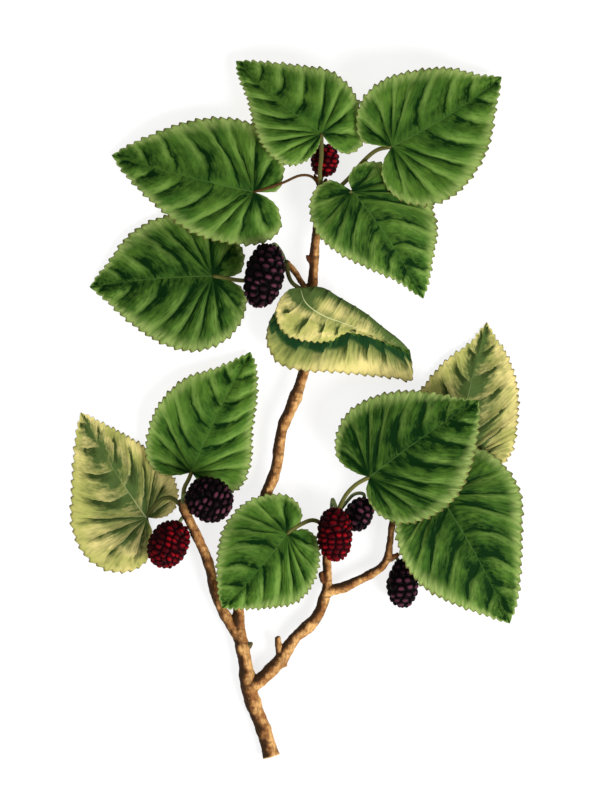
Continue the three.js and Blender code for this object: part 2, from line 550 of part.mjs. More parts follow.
function berryPlacement(berry) {
  const turn = THREE.MathUtils.degToRad(berry.axis - 90);
  return new THREE.Matrix4().makeRotationZ(turn).setPosition(...berry.at);
}

function stalkSolid(berry, sleeve) {
  const stem = thinStem(berry.stalk, STALK_RADIUS);
  return largestPiece(stem.subtract(sleeve).subtract(berrySolid(berry, GAP)));
}

const sprig = new THREE.Group();
const twigSleeve = twig(GAP);
sprig.add(toMesh('woody_twig', twig(0), BARK, ROUGHNESS.bark));
for (const [name, leaf] of Object.entries(LEAVES)) {
  const colour = leaf.underside ? PALE_GREEN : GREEN;
  sprig.add(toMesh(name, leafSolid(leaf, twigSleeve), colour, ROUGHNESS.leaf));
}
sprig.add(toMesh('leaf_folded', foldedLeafSolid(twigSleeve), PALE_GREEN, ROUGHNESS.leaf));
for (const [name, berry] of Object.entries(BERRIES)) {
  const stalk = stalkSolid(berry, twigSleeve);
  sprig.add(toMesh(name, berrySolid(berry), berry.colour, ROUGHNESS.fruit));
  sprig.add(toMesh(name.replace('berry', 'stalk'), stalk, STEM_GREEN, ROUGHNESS.stalk));
}

export default sprig;
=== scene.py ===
# %% [markdown]
# A cut mulberry sprig lies on a table: a forked woody twig, twelve toothed leaves and seven berries.
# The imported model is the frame. Every piece below is a finer version of one of its solids, laid in
# the same place, so that nothing has to be fitted afterwards.
# %% Frame
import json
import math
import bpy
import bmesh
import numpy as np
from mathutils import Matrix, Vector, noise


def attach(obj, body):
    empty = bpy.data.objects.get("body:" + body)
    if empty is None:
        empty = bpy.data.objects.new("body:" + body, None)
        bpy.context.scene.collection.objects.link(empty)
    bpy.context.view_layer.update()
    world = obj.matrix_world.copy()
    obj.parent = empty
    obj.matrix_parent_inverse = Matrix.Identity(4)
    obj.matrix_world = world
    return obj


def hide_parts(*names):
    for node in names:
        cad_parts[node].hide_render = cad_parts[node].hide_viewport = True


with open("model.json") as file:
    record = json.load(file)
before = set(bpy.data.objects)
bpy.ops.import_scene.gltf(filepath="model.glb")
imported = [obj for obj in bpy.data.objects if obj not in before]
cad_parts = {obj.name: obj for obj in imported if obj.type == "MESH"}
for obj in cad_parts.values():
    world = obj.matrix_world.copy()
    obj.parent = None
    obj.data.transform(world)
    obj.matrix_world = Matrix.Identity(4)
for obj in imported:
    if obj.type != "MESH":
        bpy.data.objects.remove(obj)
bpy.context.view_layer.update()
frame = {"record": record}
MM = 0.001
slots = {row["node"]: row["material_slot"] for row in frame["record"]["subparts"]}


# %% [markdown]
# Stems, margins and midribs are all smooth lines through a few points. A centripetal Catmull-Rom
# line goes through every point without loops, and is read by its length, so that teeth and rings
# keep an even spacing along it.
# %% Smooth lines
class Line:
    """A smooth line through points, read at shares of its length from 0 to 1."""

    def __init__(self, points, per_span=24):
        points = np.array(points, float)
        padded = np.vstack([2 * points[0] - points[1], points, 2 * points[-1] - points[-2]])
        samples = []
        for a, b, c, d in zip(padded, padded[1:], padded[2:], padded[3:]):
            before, span, after = (np.linalg.norm(q - p) ** 0.5 for p, q in ((a, b), (b, c), (c, d)))
            leave = ((b - a) / before - (c - a) / (before + span) + (c - b) / span) * span
            arrive = ((c - b) / span - (d - b) / (span + after) + (d - c) / after) * span
            t = np.linspace(0, 1, per_span, endpoint=False)[:, None]
            cubic = 2 * b - 2 * c + leave + arrive
            square = 3 * c - 3 * b - 2 * leave - arrive
            samples.append(b + leave * t + square * t**2 + cubic * t**3)
        self.samples = np.vstack(samples + [points[-1:]])
        steps = np.linalg.norm(np.diff(self.samples, axis=0), axis=1)
        self.run = np.concatenate([[0], np.cumsum(steps)])
        self.length = self.run[-1]

    def at(self, share):
        run = np.asarray(share, float) * self.length
        return np.stack([np.interp(run, self.run, column) for column in self.samples.T], axis=-1)

    def way(self, share, reach=0.004):
        """The direction at a share, taken over a short reach on both sides of it."""
        share = np.asarray(share, float)
        ahead = self.at(np.minimum(share + reach, 1)) - self.at(np.maximum(share - reach, 0))
        return ahead / np.linalg.norm(ahead, axis=-1, keepdims=True)

    def ring(self, share, radius, angles):
        """A ring of points round the line; angle 0 is on its left, a quarter turn is above it."""
        way = self.way(share)
        left = np.cross((0, 0, 1), way)
        left /= np.linalg.norm(left)
        over = np.cross(way, left)
        angles = angles[:, None]
        return self.at(share) + radius * (left * np.cos(angles) + over * np.sin(angles))


print("a line through three points is", round(Line([[0, 0], [3, 4], [6, 0]]).length, 2), "long")


# %% [markdown]
# Most pieces here are skins: a ring of points that travels along the piece. A grid operator makes
# the faces, each of its points is moved to its place, and the seam, the tip and the end cap are
# closed afterwards. What the paint needs to know about a point goes with it as an attribute.
# %% Skins
WELD_DISTANCE = 0.002


def skin(name, rings, marks):
    """A closed piece from rings of points in millimetres, with named values for each point."""
    count, size = rings.shape[:2]
    bm = bmesh.new()
    bmesh.ops.create_grid(bm, x_segments=size, y_segments=count - 1, size=1)
    bm.verts.ensure_lookup_table()
    layers = {mark: bm.verts.layers.float.new(mark) for mark in marks}
    for j in range(count):
        for i in range(size + 1):
            corner = bm.verts[j * (size + 1) + i]
            corner.co = Vector(rings[j, i % size]) * MM
            for mark, layer in layers.items():
                corner[layer] = float(marks[mark][j, i % size])
    bmesh.ops.remove_doubles(bm, verts=bm.verts, dist=WELD_DISTANCE * MM)
    open_edges = [edge for edge in bm.edges if edge.is_boundary]
    bmesh.ops.holes_fill(bm, edges=open_edges, sides=0)
    bmesh.ops.recalc_face_normals(bm, faces=bm.faces)
    if bm.calc_volume(signed=True) < 0:
        bmesh.ops.reverse_faces(bm, faces=bm.faces)
    return finish_piece(name, bm)


def placed(at, degrees, along, across):
    """Turns a piece's own axes and moves them to its place, seen from above."""
    turn = math.radians(degrees)
    x = at[0] + along * math.cos(turn) - across * math.sin(turn)
    y = at[1] + along * math.sin(turn) + across * math.cos(turn)
    return x, y


def finish_piece(name, bm):
    """Turns a bmesh into a smooth object of the scene."""
    for face in bm.faces:
        face.smooth = True
    mesh = bpy.data.meshes.new(name)
    bm.to_mesh(mesh)
    bm.free()
    piece = bpy.data.objects.new(name, mesh)
    bpy.context.scene.collection.objects.link(piece)
    return piece


def stand_for(piece, node, material):
    """Paints a piece and puts it on the frame in the place of one node."""
    piece.data.materials.clear()
    piece.data.materials.append(material)
    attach(piece, "root")
    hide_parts(node)
    faces = sum(len(face.vertices) - 2 for face in piece.data.polygons)
    print(f"{piece.name}: {faces} triangles")


print("points closer than", WELD_DISTANCE, "mm become one")


# %% [markdown]
# Paint is written as sums. A small class stands for one value in a material, so that a mask can be
# multiplied, added or taken from 1 in plain Python, and each sum adds its own nodes.
# %% Paint
class Shade:
    """One output in a material; + - and * on it add Math nodes."""

    def __init__(self, tree, socket=None):
        self.tree = tree
        self.socket = socket

    def node(self, kind, settings=None, sockets=None, out=0):
        """Adds a node of any kind: its settings first, then a value or a link for each socket."""
        made = self.tree.nodes.new(kind)
        for key, value in (settings or {}).items():
            setattr(made, key, value)
        for key, value in (sockets or {}).items():
            if isinstance(value, Shade):
                self.tree.links.new(value.socket, made.inputs[key])
            else:
                made.inputs[key].default_value = value
        return Shade(self.tree, made.outputs[out] if len(made.outputs) else None)

    def math(self, operation, *others):
        """A Math node with this value first."""
        sockets = dict(enumerate((self, *others)))
        return self.node("ShaderNodeMath", {"operation": operation}, sockets)

    def __add__(self, other):
        return self.math("ADD", other)

    def __sub__(self, other):
        return self.math("SUBTRACT", other)

    def __rsub__(self, other):
        return self * -1 + other

    def __mul__(self, other):
        return self.math("MULTIPLY", other)

    __radd__ = __add__

    def between(self, low, high):
        """0 below low, 1 above high, smooth between them; turned round if low is the larger."""
        spans = (high, low, 1, 0) if low > high else (low, high, 0, 1)
        sockets = dict(enumerate((self, *spans)))
        return self.node("ShaderNodeMapRange", {"interpolation_type": "SMOOTHSTEP"}, sockets)

    def mark(self, name):
        """A value that the piece carries at each of its points."""
        return self.node("ShaderNodeAttribute", {"attribute_name": name}, out=2)

    def mixed(self, share, first, second):
        return self.node("ShaderNodeMix", {"data_type": "RGBA"}, {0: share, 6: first, 7: second}, 2)

    def grain(self, where, scale, detail=3.0, rough=0.55):
        sockets = {"Vector": where, "Scale": scale, "Detail": detail, "Roughness": rough}
        return self.node("ShaderNodeTexNoise", {}, sockets)


def limited(value):
    """Keeps a share between 0 and 1."""
    return value.node("ShaderNodeClamp", {}, {0: value})


def colour(red, green, blue):
    """A colour given as it looks on screen, from 0 to 255, as the light values that paint needs."""
    parts = []
    for part in (red, green, blue):
        part /= 255
        parts.append(part / 12.92 if part <= 0.04045 else ((part + 0.055) / 1.055) ** 2.4)
    return (*parts, 1)


def new_paint(name):
    material = bpy.data.materials.new(name)
    material.use_nodes = True
    material.node_tree.nodes.clear()
    return material, Shade(material.node_tree)


def relief(paint, height, strength, distance):
    """A bumpy normal from a height, with the size of its bumps in millimetres."""
    sockets = {"Strength": strength, "Distance": distance * MM, "Height": height}
    return paint.node("ShaderNodeBump", {}, sockets)


def put_on(paint, base, rough, normal, gloss=0.5, **settings):
    """The finish itself: a Principled surface with its colour, roughness and relief."""
    sockets = {"Base Color": base, "Roughness": rough, "Normal": normal, **settings}
    sockets["Specular IOR Level"] = gloss
    surface = paint.node("ShaderNodeBsdfPrincipled", {}, sockets)
    paint.node("ShaderNodeOutputMaterial", {}, {"Surface": surface})


print("screen grey 128 is", round(colour(128, 128, 128)[0], 3), "in light")

# %% [markdown]
# A mulberry leaf is a heart with saw teeth. Each one is a sheet of rows: a row leaves the midrib
# at a slant, as the side veins do, and ends on the left and right margins. The blade bulges
# between the side veins, the veins lie in furrows on the upper face, and the petiole's rings run
# into the first row. All numbers are millimetres; heights are above the table. Both the bulges and
# the veins grow from nothing near the midrib, or the base would look pleated like a fan.
# %% Leaf sizes
BLADE_THICKNESS = 0.5
PETIOLE_RADIUS = 0.95
PETIOLE_STEP = 1.6
PETIOLE_FLARE = 0.3
FLARE_LENGTH = 3
MIDRIB_WIDTH = 1.3
PLAIN_BASE = 0.3
PLAIN_TIP = 0.06
TEETH_PER_SIDE = 31
TOOTH_HEIGHT = 1.35
TOOTH_TIP = 0.78
TOOTH_BACK = 0.85
TOOTH_UNEVENNESS = 0.22
VEINS_PER_SIDE = 8.5
VEIN_CROWDING = 1.5
VEIN_BEND = 0.16
VEIN_SLANT = 1.0
VEIN_WOBBLE = 0.09
VEIN_STAGGER = 0.12
PUCKER = 0.95
FURROW = 0.35
WAVE_HEIGHT = 0.8
RISE_WIDTH = 25
LOBE_REACH = 0.25
ROWS_PER_TOOTH = 6
COLUMNS = np.array(
    [0, 0.02, 0.05, 0.09, 0.15, 0.23, 0.32, 0.42, 0.52, 0.62, 0.72, 0.81, 0.89, 0.95, 0.98, 1])
print(TEETH_PER_SIDE, "teeth and about", VEINS_PER_SIDE, "veins on each side of a leaf")

# %% [markdown]
# Each leaf has its own outline, in its own axes: the first number of a margin point goes along the
# midrib, the second away from it. The heading points to the tip, three heights bend the midrib, and
# the rise lifts or drops the left and right sides. Leaves in the shade of others are dim, one stalk
# is thin and woody, and two leaves lie with their underside up.
# %% Leaves
LEAVES = {
    "leaf_top": dict(
        at=(10.5, 123.5), heading=139, length=51, bow=1.5, heights=(19, 21, 6), rise=(-2, -3.5),
        left=[(-3, 6.5), (-2, 15), (4, 21), (15.5, 21), (25, 16.5), (35, 9.5), (44.5, 4.5)],
        right=[(-8, -1), (-15, 1.5), (-16.5, 9.5), (-10, 16.5), (1.5, 23), (15, 23.5), (27, 16.5),
               (39.5, 8)],
        petiole=[(10.5, 113.5, 18.4), (9.8, 105.5, 15.4), (10.6, 98.8, 10.4)]),
    "leaf_top_right": dict(
        at=(42, 117.5), heading=33, length=59.5, bow=-2, heights=(21, 24, 5), rise=(-1, 0.5), dim=0.2,
        left=[(-5, 4), (-9.5, 10), (-7, 17.5), (1, 24.5), (12.5, 26.5), (26, 23), (40.5, 15.5),
              (51.5, 5)],
        right=[(-6.5, 3.5), (-11, 10), (-10, 20.5), (-1.5, 30), (11, 33), (25, 29.5), (37.5, 22),
               (49, 10)],
        petiole=[(35.5, 116.2, 16.2), (29, 111, 11.6), (23.5, 104.5, 11), (17, 98.6, 10.4),
                 (10.8, 95.4, 9.5)]),
    "leaf_upper_left": dict(
        at=(-20, 97.5), heading=165, length=66.5, bow=1,
        heights=(13.5, 17, 2), rise=(-2, -2.5), stalk=0.6, dim=0.3,
        left=[(-5, 0.5), (-11.5, 3.5), (-15.5, 12.5), (-9.5, 20.5), (5.5, 24.5), (22.5, 24), (40, 17),
              (56.5, 7.5)],
        right=[(-5, 1.5), (-10, 3.5), (-10.5, 12), (-6, 22), (6, 28.5), (21, 28.5), (36, 23), (52, 12)],
        petiole=[(-12.5, 99.5, 13.8), (-6, 102, 13), (1, 105, 12), (6, 104.6, 11), (10.4, 99.8, 9.8)]),
    "leaf_mid_left": dict(
        at=(-38.5, 60), heading=-175, length=56, bow=-1, heights=(5, 9, 0.6), rise=(-1.6, -1.8), dim=0.85,
        left=[(-7, 2.5), (-13.5, 8.5), (-12.5, 17.5), (-3.5, 28.5), (11, 32.5), (25, 28), (39.5, 16.5),
              (49.5, 5.5)],
        right=[(-6, -1), (-12.5, 1), (-14.5, 8.5), (-9, 19), (4, 26), (20.5, 28), (35.5, 21.5),
               (46.5, 9.5)],
        petiole=[(-32.5, 59, 4), (-24, 58, 3.2), (-14.5, 60, 3.6), (-8.5, 62.6, 5.2), (-3.4, 64.4, 7.6)]),
    "leaf_mid_right": dict(
        at=(24.5, 97.5), heading=-56, length=57.5, bow=1.5,
        heights=(17.5, 18.5, 0.6), rise=(-4.5, -2.5), dim=0.6,
        left=[(-6, 2), (-8.5, 8.5), (-4.5, 16.5), (6, 23), (21, 26), (34, 22.5), (43.5, 14), (51, 7)],
        right=[(-4.5, 2), (-9.5, 5.5), (-10, 13), (-4.5, 19.5), (6, 23), (18, 20.5), (32.5, 12.5),
               (45.5, 4.5)],
        petiole=[(20, 96, 15.6), (14.5, 93.5, 12), (10, 90.5, 9.4)]),
    "leaf_low_left_pale": dict(
        at=(-68.5, -49), heading=122, length=56, bow=1,
        heights=(2.6, 3, 0.6), rise=(-3.6, -0.8), underside=True,
        dim=0.7,
        left=[(-6, 1), (-14, 6), (-17, 16), (-11.5, 26.5), (-0.5, 32), (13.5, 30.5), (27.5, 22),
              (43.5, 10.5)],
        right=[(-3.5, 5.5), (-3.5, 12), (2, 17.5), (13.5, 19.5), (25.5, 16.5), (38.5, 10), (48.5, 4)],
        petiole=[(-65, -44, 5), (-61, -40.5, 7), (-57, -40, 8.8), (-53.6, -42.5, 9.8),
                 (-51.4, -45, 9.8)]),
    "leaf_low_left": dict(
        at=(-48, -28.5), heading=64, length=60.5, bow=1, heights=(6.4, 13, 3), rise=(-0.6, -1.9),
        left=[(-3.5, 4.5), (-6.5, 12.5), (-3, 20.5), (8, 25), (21.5, 26), (36, 21), (46.5, 10.5),
              (55.5, 3)],
        right=[(-2.5, 5.5), (-3, 15), (3, 22), (15.5, 21.5), (28.5, 16), (43.5, 11), (55, 5)],
        petiole=[(-49.4, -32, 7.2), (-51.2, -35.6, 8.8), (-51.6, -41.4, 9.9)]),
    "leaf_center": dict(
        at=(-5, -56), heading=-131, length=44.5, bow=1, heights=(15, 18, 10), rise=(-2, -2.5), dim=0.25,
        left=[(-6.5, 4.5), (-7, 11), (-1.5, 17.5), (9.5, 23), (20, 23), (30.5, 15), (38.5, 6.5)],
        right=[(-6, -1.5), (-11.5, 1.5), (-13, 9.5), (-6, 18.5), (3.5, 23), (16.5, 22.5), (28.5, 16),
               (38.5, 7)],
        petiole=[(1, -52, 13.4), (6.5, -50, 10.2), (10.5, -51.6, 7.8), (14.2, -55.5, 6.4)]),
    "leaf_right": dict(
        at=(32, -30.5), heading=35, length=60, bow=1, heights=(19, 25, 16), rise=(-1.5, -0.6), dim=1.1,
        left=[(-4, 5.5), (-6.5, 14.5), (-2.5, 22), (8, 28.5), (21.5, 28), (35, 22), (47, 12), (54, 4.5)],
        right=[(-5, 5), (-6, 15.5), (0.5, 25), (14, 30), (28, 28.5), (40.5, 21), (52, 10)],
        petiole=[(26.5, -33.5, 17), (22, -38, 13.5), (19.5, -42.5, 10), (18, -46.5, 7.4)]),
    "leaf_right_pale": dict(
        at=(70.5, -25.5), heading=77, length=66.5, bow=1,
        heights=(5, 6, 0.6), rise=(-1.5, -2), underside=True,
        dim=0.9,
        left=[(-5.5, 5.5), (-4, 14.5), (5, 21.5), (19.5, 24.5), (32.5, 20.5), (45.5, 13.5), (56, 4.5)],
        right=[(-2, 7.5), (2, 17), (10, 23), (24, 23), (40.5, 19.5), (54.5, 11), (60.5, 4.5)],
        petiole=[(61, -31, 5.6), (52, -37.5, 6.8), (44.8, -43.4, 9.2)]),
    "leaf_low_right": dict(
        at=(63, -38), heading=-61, length=67.5, bow=1.5,
        heights=(13.5, 15.5, 0.6), rise=(-4, 3), dim=0.95,
        left=[(-7, 7), (-10, 17.5), (-7, 27), (5, 32), (18.5, 32), (33, 24.5), (46.5, 16.5), (58.5, 8.5)],
        right=[(-5.5, 5), (-5.5, 14.5), (3, 23), (17, 27.5), (32.5, 26), (46.5, 17.5), (60, 6)],
        petiole=[(56, -41, 12.4), (49, -45, 11.4), (43.6, -49, 9.3)]),
}
print(len(LEAVES), "flat leaves, the longest blade", max(leaf["length"] for leaf in LEAVES.values()), "mm")


# %% Teeth, veins and rows
def saw(u):
    """Height of the margin's teeth at shares u of the way from base to tip."""
    phase = (u * TEETH_PER_SIDE) % 1
    back, front = (phase / TOOTH_TIP) ** TOOTH_BACK, (1 - phase) / (1 - TOOTH_TIP)
    shape = np.where(phase < TOOTH_TIP, back, front)
    fade = np.clip(u / PLAIN_BASE, 0, 1) * np.clip((1 - u) / PLAIN_TIP, 0, 1)
    uneven = 1 + TOOTH_UNEVENNESS * np.sin(2.7 * np.floor(u * TEETH_PER_SIDE))
    return TOOTH_HEIGHT * shape * fade * uneven


def rows():
    """Shares of the margin for the rows of a blade, from the first tooth's tip to the leaf's tip."""
    first = TOOTH_TIP / TEETH_PER_SIDE
    return np.linspace(first, 1, round(ROWS_PER_TOOTH * (TEETH_PER_SIDE - TOOTH_TIP)) + 1)


def vein_count(u, r):
    """Counts the side veins: a whole number on a vein, a half between two of them."""
    wobble = VEIN_WOBBLE * np.sin(9 * u + 2) * np.sin(math.pi * np.abs(r))
    bend = wobble + VEIN_STAGGER * np.sign(r) * np.sqrt(u)
    return VEINS_PER_SIDE * u**VEIN_CROWDING + bend


def on_vein(count, width):
    """1 on a side vein and 0 away from it."""
    away = np.abs((count + 0.5) % 1 - 0.5)
    return np.exp(-((away / width) ** 2))


print(len(rows()), "rows on each blade")


# %% Petioles and marks
def petiole_rings(points, size, radius_at_blade=PETIOLE_RADIUS):
    """Rings round a petiole from twig to blade, each with its upper half first."""
    line = Line(points)
    angles = math.pi * (np.arange(size) + 0.5) / (size / 2)
    rings = []
    for share in np.linspace(0, 1, max(6, round(line.length / PETIOLE_STEP))):
        flare = PETIOLE_FLARE * math.exp(-share * line.length / FLARE_LENGTH)
        rings.append(line.ring(share, radius_at_blade * (1 + flare), angles))
    return np.array(rings)


def leaf_marks(seed, petiole_count, u, r, under, woody=0, gloom=0, calm=0):
    """What the paint reads: side veins, place on the blade, underside, petiole and its brown, calm for
    a leaf whose veins cast little painted shadow, gloom for painted shade, and a seed for each
    leaf's own pattern."""
    both = {
        "veins": (0, vein_count(u[:, None], r)),
        "across": (0, r),
        "along": (0, u[:, None]),
        "pale": (under[:1], under),
        "stalk": (1, 0),
        "woody": (woody, woody),
        "calm": (calm, calm),
        "gloom": (0, gloom),
        "seed": (seed, seed),
    }
    marks = {}
    for mark, (on_petiole, on_blade) in both.items():
        marks[mark] = np.zeros((petiole_count + len(u), r.shape[1]))
        marks[mark][:petiole_count] = on_petiole
        marks[mark][petiole_count:] = on_blade
    return marks


print("petioles are", 2 * PETIOLE_RADIUS, "mm thick where they meet the blade")


# %% Flat leaves
def flat_leaf(name, leaf, seed):
    """Petiole and blade of one leaf as a single skin."""
    u = rows()
    edge = {side: Line([(0, 0), *leaf[side], (leaf["length"], 0)]) for side in ("left", "right")}
    ends = {}
    for side, line in edge.items():
        way = line.way(u)
        ends[side] = line.at(u) + saw(u)[:, None] * np.stack([-way[:, 1], way[:, 0]], axis=1)
    reach = [ends[side][:, 0] - VEIN_SLANT * ends[side][:, 1] for side in ends]
    t = np.clip((reach[0] + reach[1]) / 2 / leaf["length"], 0, 1)
    root = np.stack([t * leaf["length"], 4 * leaf["bow"] * t * (1 - t)], axis=1)
    signed = np.concatenate([COLUMNS[::-1], -COLUMNS[1:]])
    r = np.abs(signed)[None, :]
    end_x = np.where(signed > 0, ends["left"][:, :1], ends["right"][:, :1])
    end_y = np.where(signed > 0, ends["left"][:, 1:], -ends["right"][:, 1:])
    bend = VEIN_BEND * np.abs(end_y - root[:, 1:]) * np.sin(math.pi * r) * np.clip(t[:, None] * 6, 0, 1)
    along = root[:, :1] + (end_x - root[:, :1]) * r - bend
    across = root[:, 1:] + (end_y - root[:, 1:]) * r
    out = np.abs(across - root[:, 1:])
    top, bottom = leaf_faces(leaf, u[:, None], r, along, across, out, t[:, None])
    x, y = placed(leaf["at"], leaf["heading"], along, across)
    upper = np.stack([x, y, top], axis=-1)
    lower = np.stack([x, y, bottom], axis=-1)
    blade = np.concatenate([upper, lower[:, ::-1]], axis=1)
    base = (*leaf["at"], leaf["heights"][0] - PETIOLE_RADIUS)
    radius = leaf.get("stalk", PETIOLE_RADIUS)
    stem = petiole_rings([*reversed(leaf["petiole"]), base], blade.shape[1], radius)
    ring = np.concatenate([signed, signed[::-1]])[None, :]
    under = np.repeat([0.0, 1.0], len(signed))[None, :]
    gloom = leaf.get("dim", 0)
    if leaf.get("underside"):
        under = 1 - under
        gloom = gloom * (2 - 2 * np.abs(ring))
    marks = leaf_marks(seed, len(stem), u, ring, under, radius < PETIOLE_RADIUS, gloom)
    return skin("fine_" + name, np.vstack([stem, blade]), marks)


def leaf_faces(leaf, u, r, along, across, out, t):
    """Heights of the upper and lower face of a blade above the table."""
    place = np.clip(along / leaf["length"], -LOBE_REACH, 1)
    base, middle, tip = leaf["heights"]
    midrib = base * (1 - place) ** 2 + 2 * middle * place * (1 - place) + tip * place**2
    side_rise = np.where(across > 0, leaf["rise"][0], leaf["rise"][1])
    rise = side_rise * (across / RISE_WIDTH) ** 2
    count = vein_count(u, r * np.sign(across - 0.001))
    swell = np.sin(math.pi * count) ** 2 * np.sin(math.pi * r) * np.clip((r - 0.06) / 0.4, 0, 1)
    wave = WAVE_HEIGHT * np.sin(5 * math.pi * u + leaf["heading"]) * np.sin(math.pi * u) * r**3
    vein = on_vein(count, 0.07) * np.sin(math.pi * np.clip(r * 1.05, 0, 1)) ** 0.5
    vein = vein * np.clip(r / 0.3, 0, 1)
    spine = np.exp(-((out / (MIDRIB_WIDTH * (1.2 - 0.8 * t))) ** 2))
    furrow = FURROW * (vein + 1.5 * spine * (1 - 0.5 * t))
    sign = -1 if leaf.get("underside") else 1
    top = midrib + rise + sign * PUCKER * swell + wave - sign * furrow
    deep = BLADE_THICKNESS + (2 * PETIOLE_RADIUS - BLADE_THICKNESS) * (1 - t) ** 3 * spine
    top = np.maximum(top, deep)
    return top, top - deep


for seed, (name, leaf) in enumerate(LEAVES.items()):
    leaf["piece"] = flat_leaf(name, leaf, seed)
print("made", len(LEAVES), "flat leaves")

# %% [markdown]
# One leaf is folded over: its front half hangs from the midrib with the pale underside out, the
# other half turns over the fold and comes down behind it, with its green face up. Its rows go
# through eight points and are smoothed like every other line, and the wall is laid on one side.
# A painted shadow, dark green, lies under the front half's edge, by its distance from that edge,
# and painted shade darkens the pale side in the same way near the fold, the base and the midrib.
# %% Folded leaf
# The painted shadow under the front half's edge starts and fades over these distances.
SHADOW_BAND_START = 1.6
SHADOW_BAND_FADE = 6
FOLD_GLOOM = 7
BASE_GLOOM = 13
MIDRIB_GLOOM = 5
GLOOM_STRENGTH = 1.2
FOLD_CROWDING = 1.6
TURN_SHARE = 0.25
BEHIND_PLACE = 0.55
FOLDED_PUCKER = 0.7
STATION_SIDES = [-1, -0.72, -0.5, -0.36, -0.26, 0, 0.5, 1]
FOLDED = dict(
    midrib=[(1, 54.5, 19), (3.5, 47.5, 20.5), (10.5, 42, 21.5), (21, 38, 20.5), (34.5, 33, 16.5),
            (50.5, 26, 9)],
    front=[(1, 54.5, 19), (-4, 53.5, 18.8), (-9, 47, 18.6), (-9, 40, 18.4), (-5, 34, 18), (4, 31, 17.8),
           (14.5, 31, 17.4), (22, 34.5, 17), (31, 33, 15), (41, 29.5, 12), (50.5, 26, 9)],
    fold=[(1, 54.5, 19), (11, 54.5, 18.6), (18, 50.5, 18), (30.5, 43, 16.4), (38, 37, 14),
          (46.5, 30.5, 10.6), (50.5, 26, 9)],
    back=[(1, 54.5, 19), (-6.5, 48, 14.6), (-12.3, 40, 13.4), (-13.6, 30.5, 12.8), (-8.5, 21.2, 12.4),
          (3, 17.8, 12), (15.5, 17.3, 11), (31, 15.8, 8.4), (44, 14.4, 6), (50.8, 13.4, 5.4),
          (51.4, 19.5, 6.4), (50.5, 26, 9)],
    turn_height=2.2, turn_drop=3,
    petiole=[(1, 54, 18.4), (-2.4, 56.4, 15.6), (-4.4, 60.5, 11), (-5.2, 66.4, 7.9)])


def distance_from(line, points):
    """How far points lie from a line, seen from above."""
    return np.linalg.norm(points[..., None, :2] - line.samples[:, :2], axis=-1).min(axis=-1)


def toothed(points, roots, u):
    """Margin points pushed away from the roots of their rows by the height of the teeth."""
    away = points - roots
    size = np.maximum(np.linalg.norm(away, axis=1, keepdims=True), 1)
    return points + away * saw(u)[:, None] / size


def folded_sheet(line, u, columns):
    """Rows of points from the back margin over the fold and the midrib to the front margin."""
    late = u**FOLD_CROWDING
    lift = np.array([0, 0, 1])
    root, turn = line["midrib"].at(late), line["fold"].at(late)
    front = toothed(line["front"].at(u), root, u)
    back = toothed(line["back"].at(u), turn, u)
    fade = np.sqrt(np.abs(np.sin(math.pi * u)))[:, None]
    before = root + (1 - TURN_SHARE) * (turn - root) + FOLDED["turn_height"] * fade * lift
    after = turn + TURN_SHARE * (back - turn)
    after[:, 2] = turn[:, 2] - FOLDED["turn_drop"] * fade[:, 0]
    swell = (FOLDED_PUCKER * PUCKER * np.sin(math.pi * vein_count(u, 0 * u)) ** 2)[:, None] * lift
    middle = (root + front) / 2 + swell
    behind = after + BEHIND_PLACE * (back - after) - swell
    stations = np.stack([back, behind, after, turn, before, root, middle, front], axis=1)
    stations[-1] = line["midrib"].at(1)
    return np.array([smooth_row(row, columns) for row in stations])


def smooth_row(row, columns):
    """A row's eight stations as a smooth line with an even number of points between them."""
    if np.ptp(row, axis=0).max() < 0.01:
        return np.repeat(row[:1], columns, axis=0)
    per_span = 10
    line = Line(row + 1e-4 * np.arange(len(row))[:, None], per_span)
    stations = line.run[::per_span] / line.length
    return line.at(np.interp(np.linspace(0, len(row) - 1, columns), np.arange(len(row)), stations))


print("folded leaf: midrib", round(Line(FOLDED["midrib"]).length, 1), "mm long")


# %% Folded leaf's wall and marks
def folded_leaf(seed, columns=44):
    line = {name: Line(FOLDED[name]) for name in ("midrib", "front", "fold", "back")}
    u = rows()
    fade = np.sqrt(np.abs(np.sin(math.pi * u)))[:, None, None]
    sheet = folded_sheet(line, u, columns)
    last = len(STATION_SIDES) - 1
    side = np.interp(np.linspace(0, last, columns), np.arange(last + 1), STATION_SIDES)
    along = np.gradient(sheet, axis=0)
    over = np.gradient(sheet, axis=1)
    normal = np.cross(over, along)
    normal /= np.maximum(np.linalg.norm(normal, axis=-1, keepdims=True), 1e-6)
    count = vein_count(u[:, None], side[None, :])
    ridge = FURROW * on_vein(count, 0.06) * np.sin(math.pi * np.abs(side)) ** 0.5
    ridge += 1.6 * FURROW * np.exp(-((side / 0.035) ** 2))
    pale_face = sheet + normal * ridge[..., None] * fade
    green_face = sheet - normal * 1.2 * BLADE_THICKNESS
    blade = np.concatenate([pale_face, green_face[:, ::-1]], axis=1)
    stem = petiole_rings(list(reversed(FOLDED["petiole"])), blade.shape[1])
    across = np.concatenate([side, side[::-1]])[None, :]
    pale, gloom = folded_shades(line, sheet, side, u)
    marks = leaf_marks(seed, len(stem), u, across, pale, gloom=gloom, calm=1)
    return skin("fine_leaf_folded", np.vstack([stem, blade]), marks)


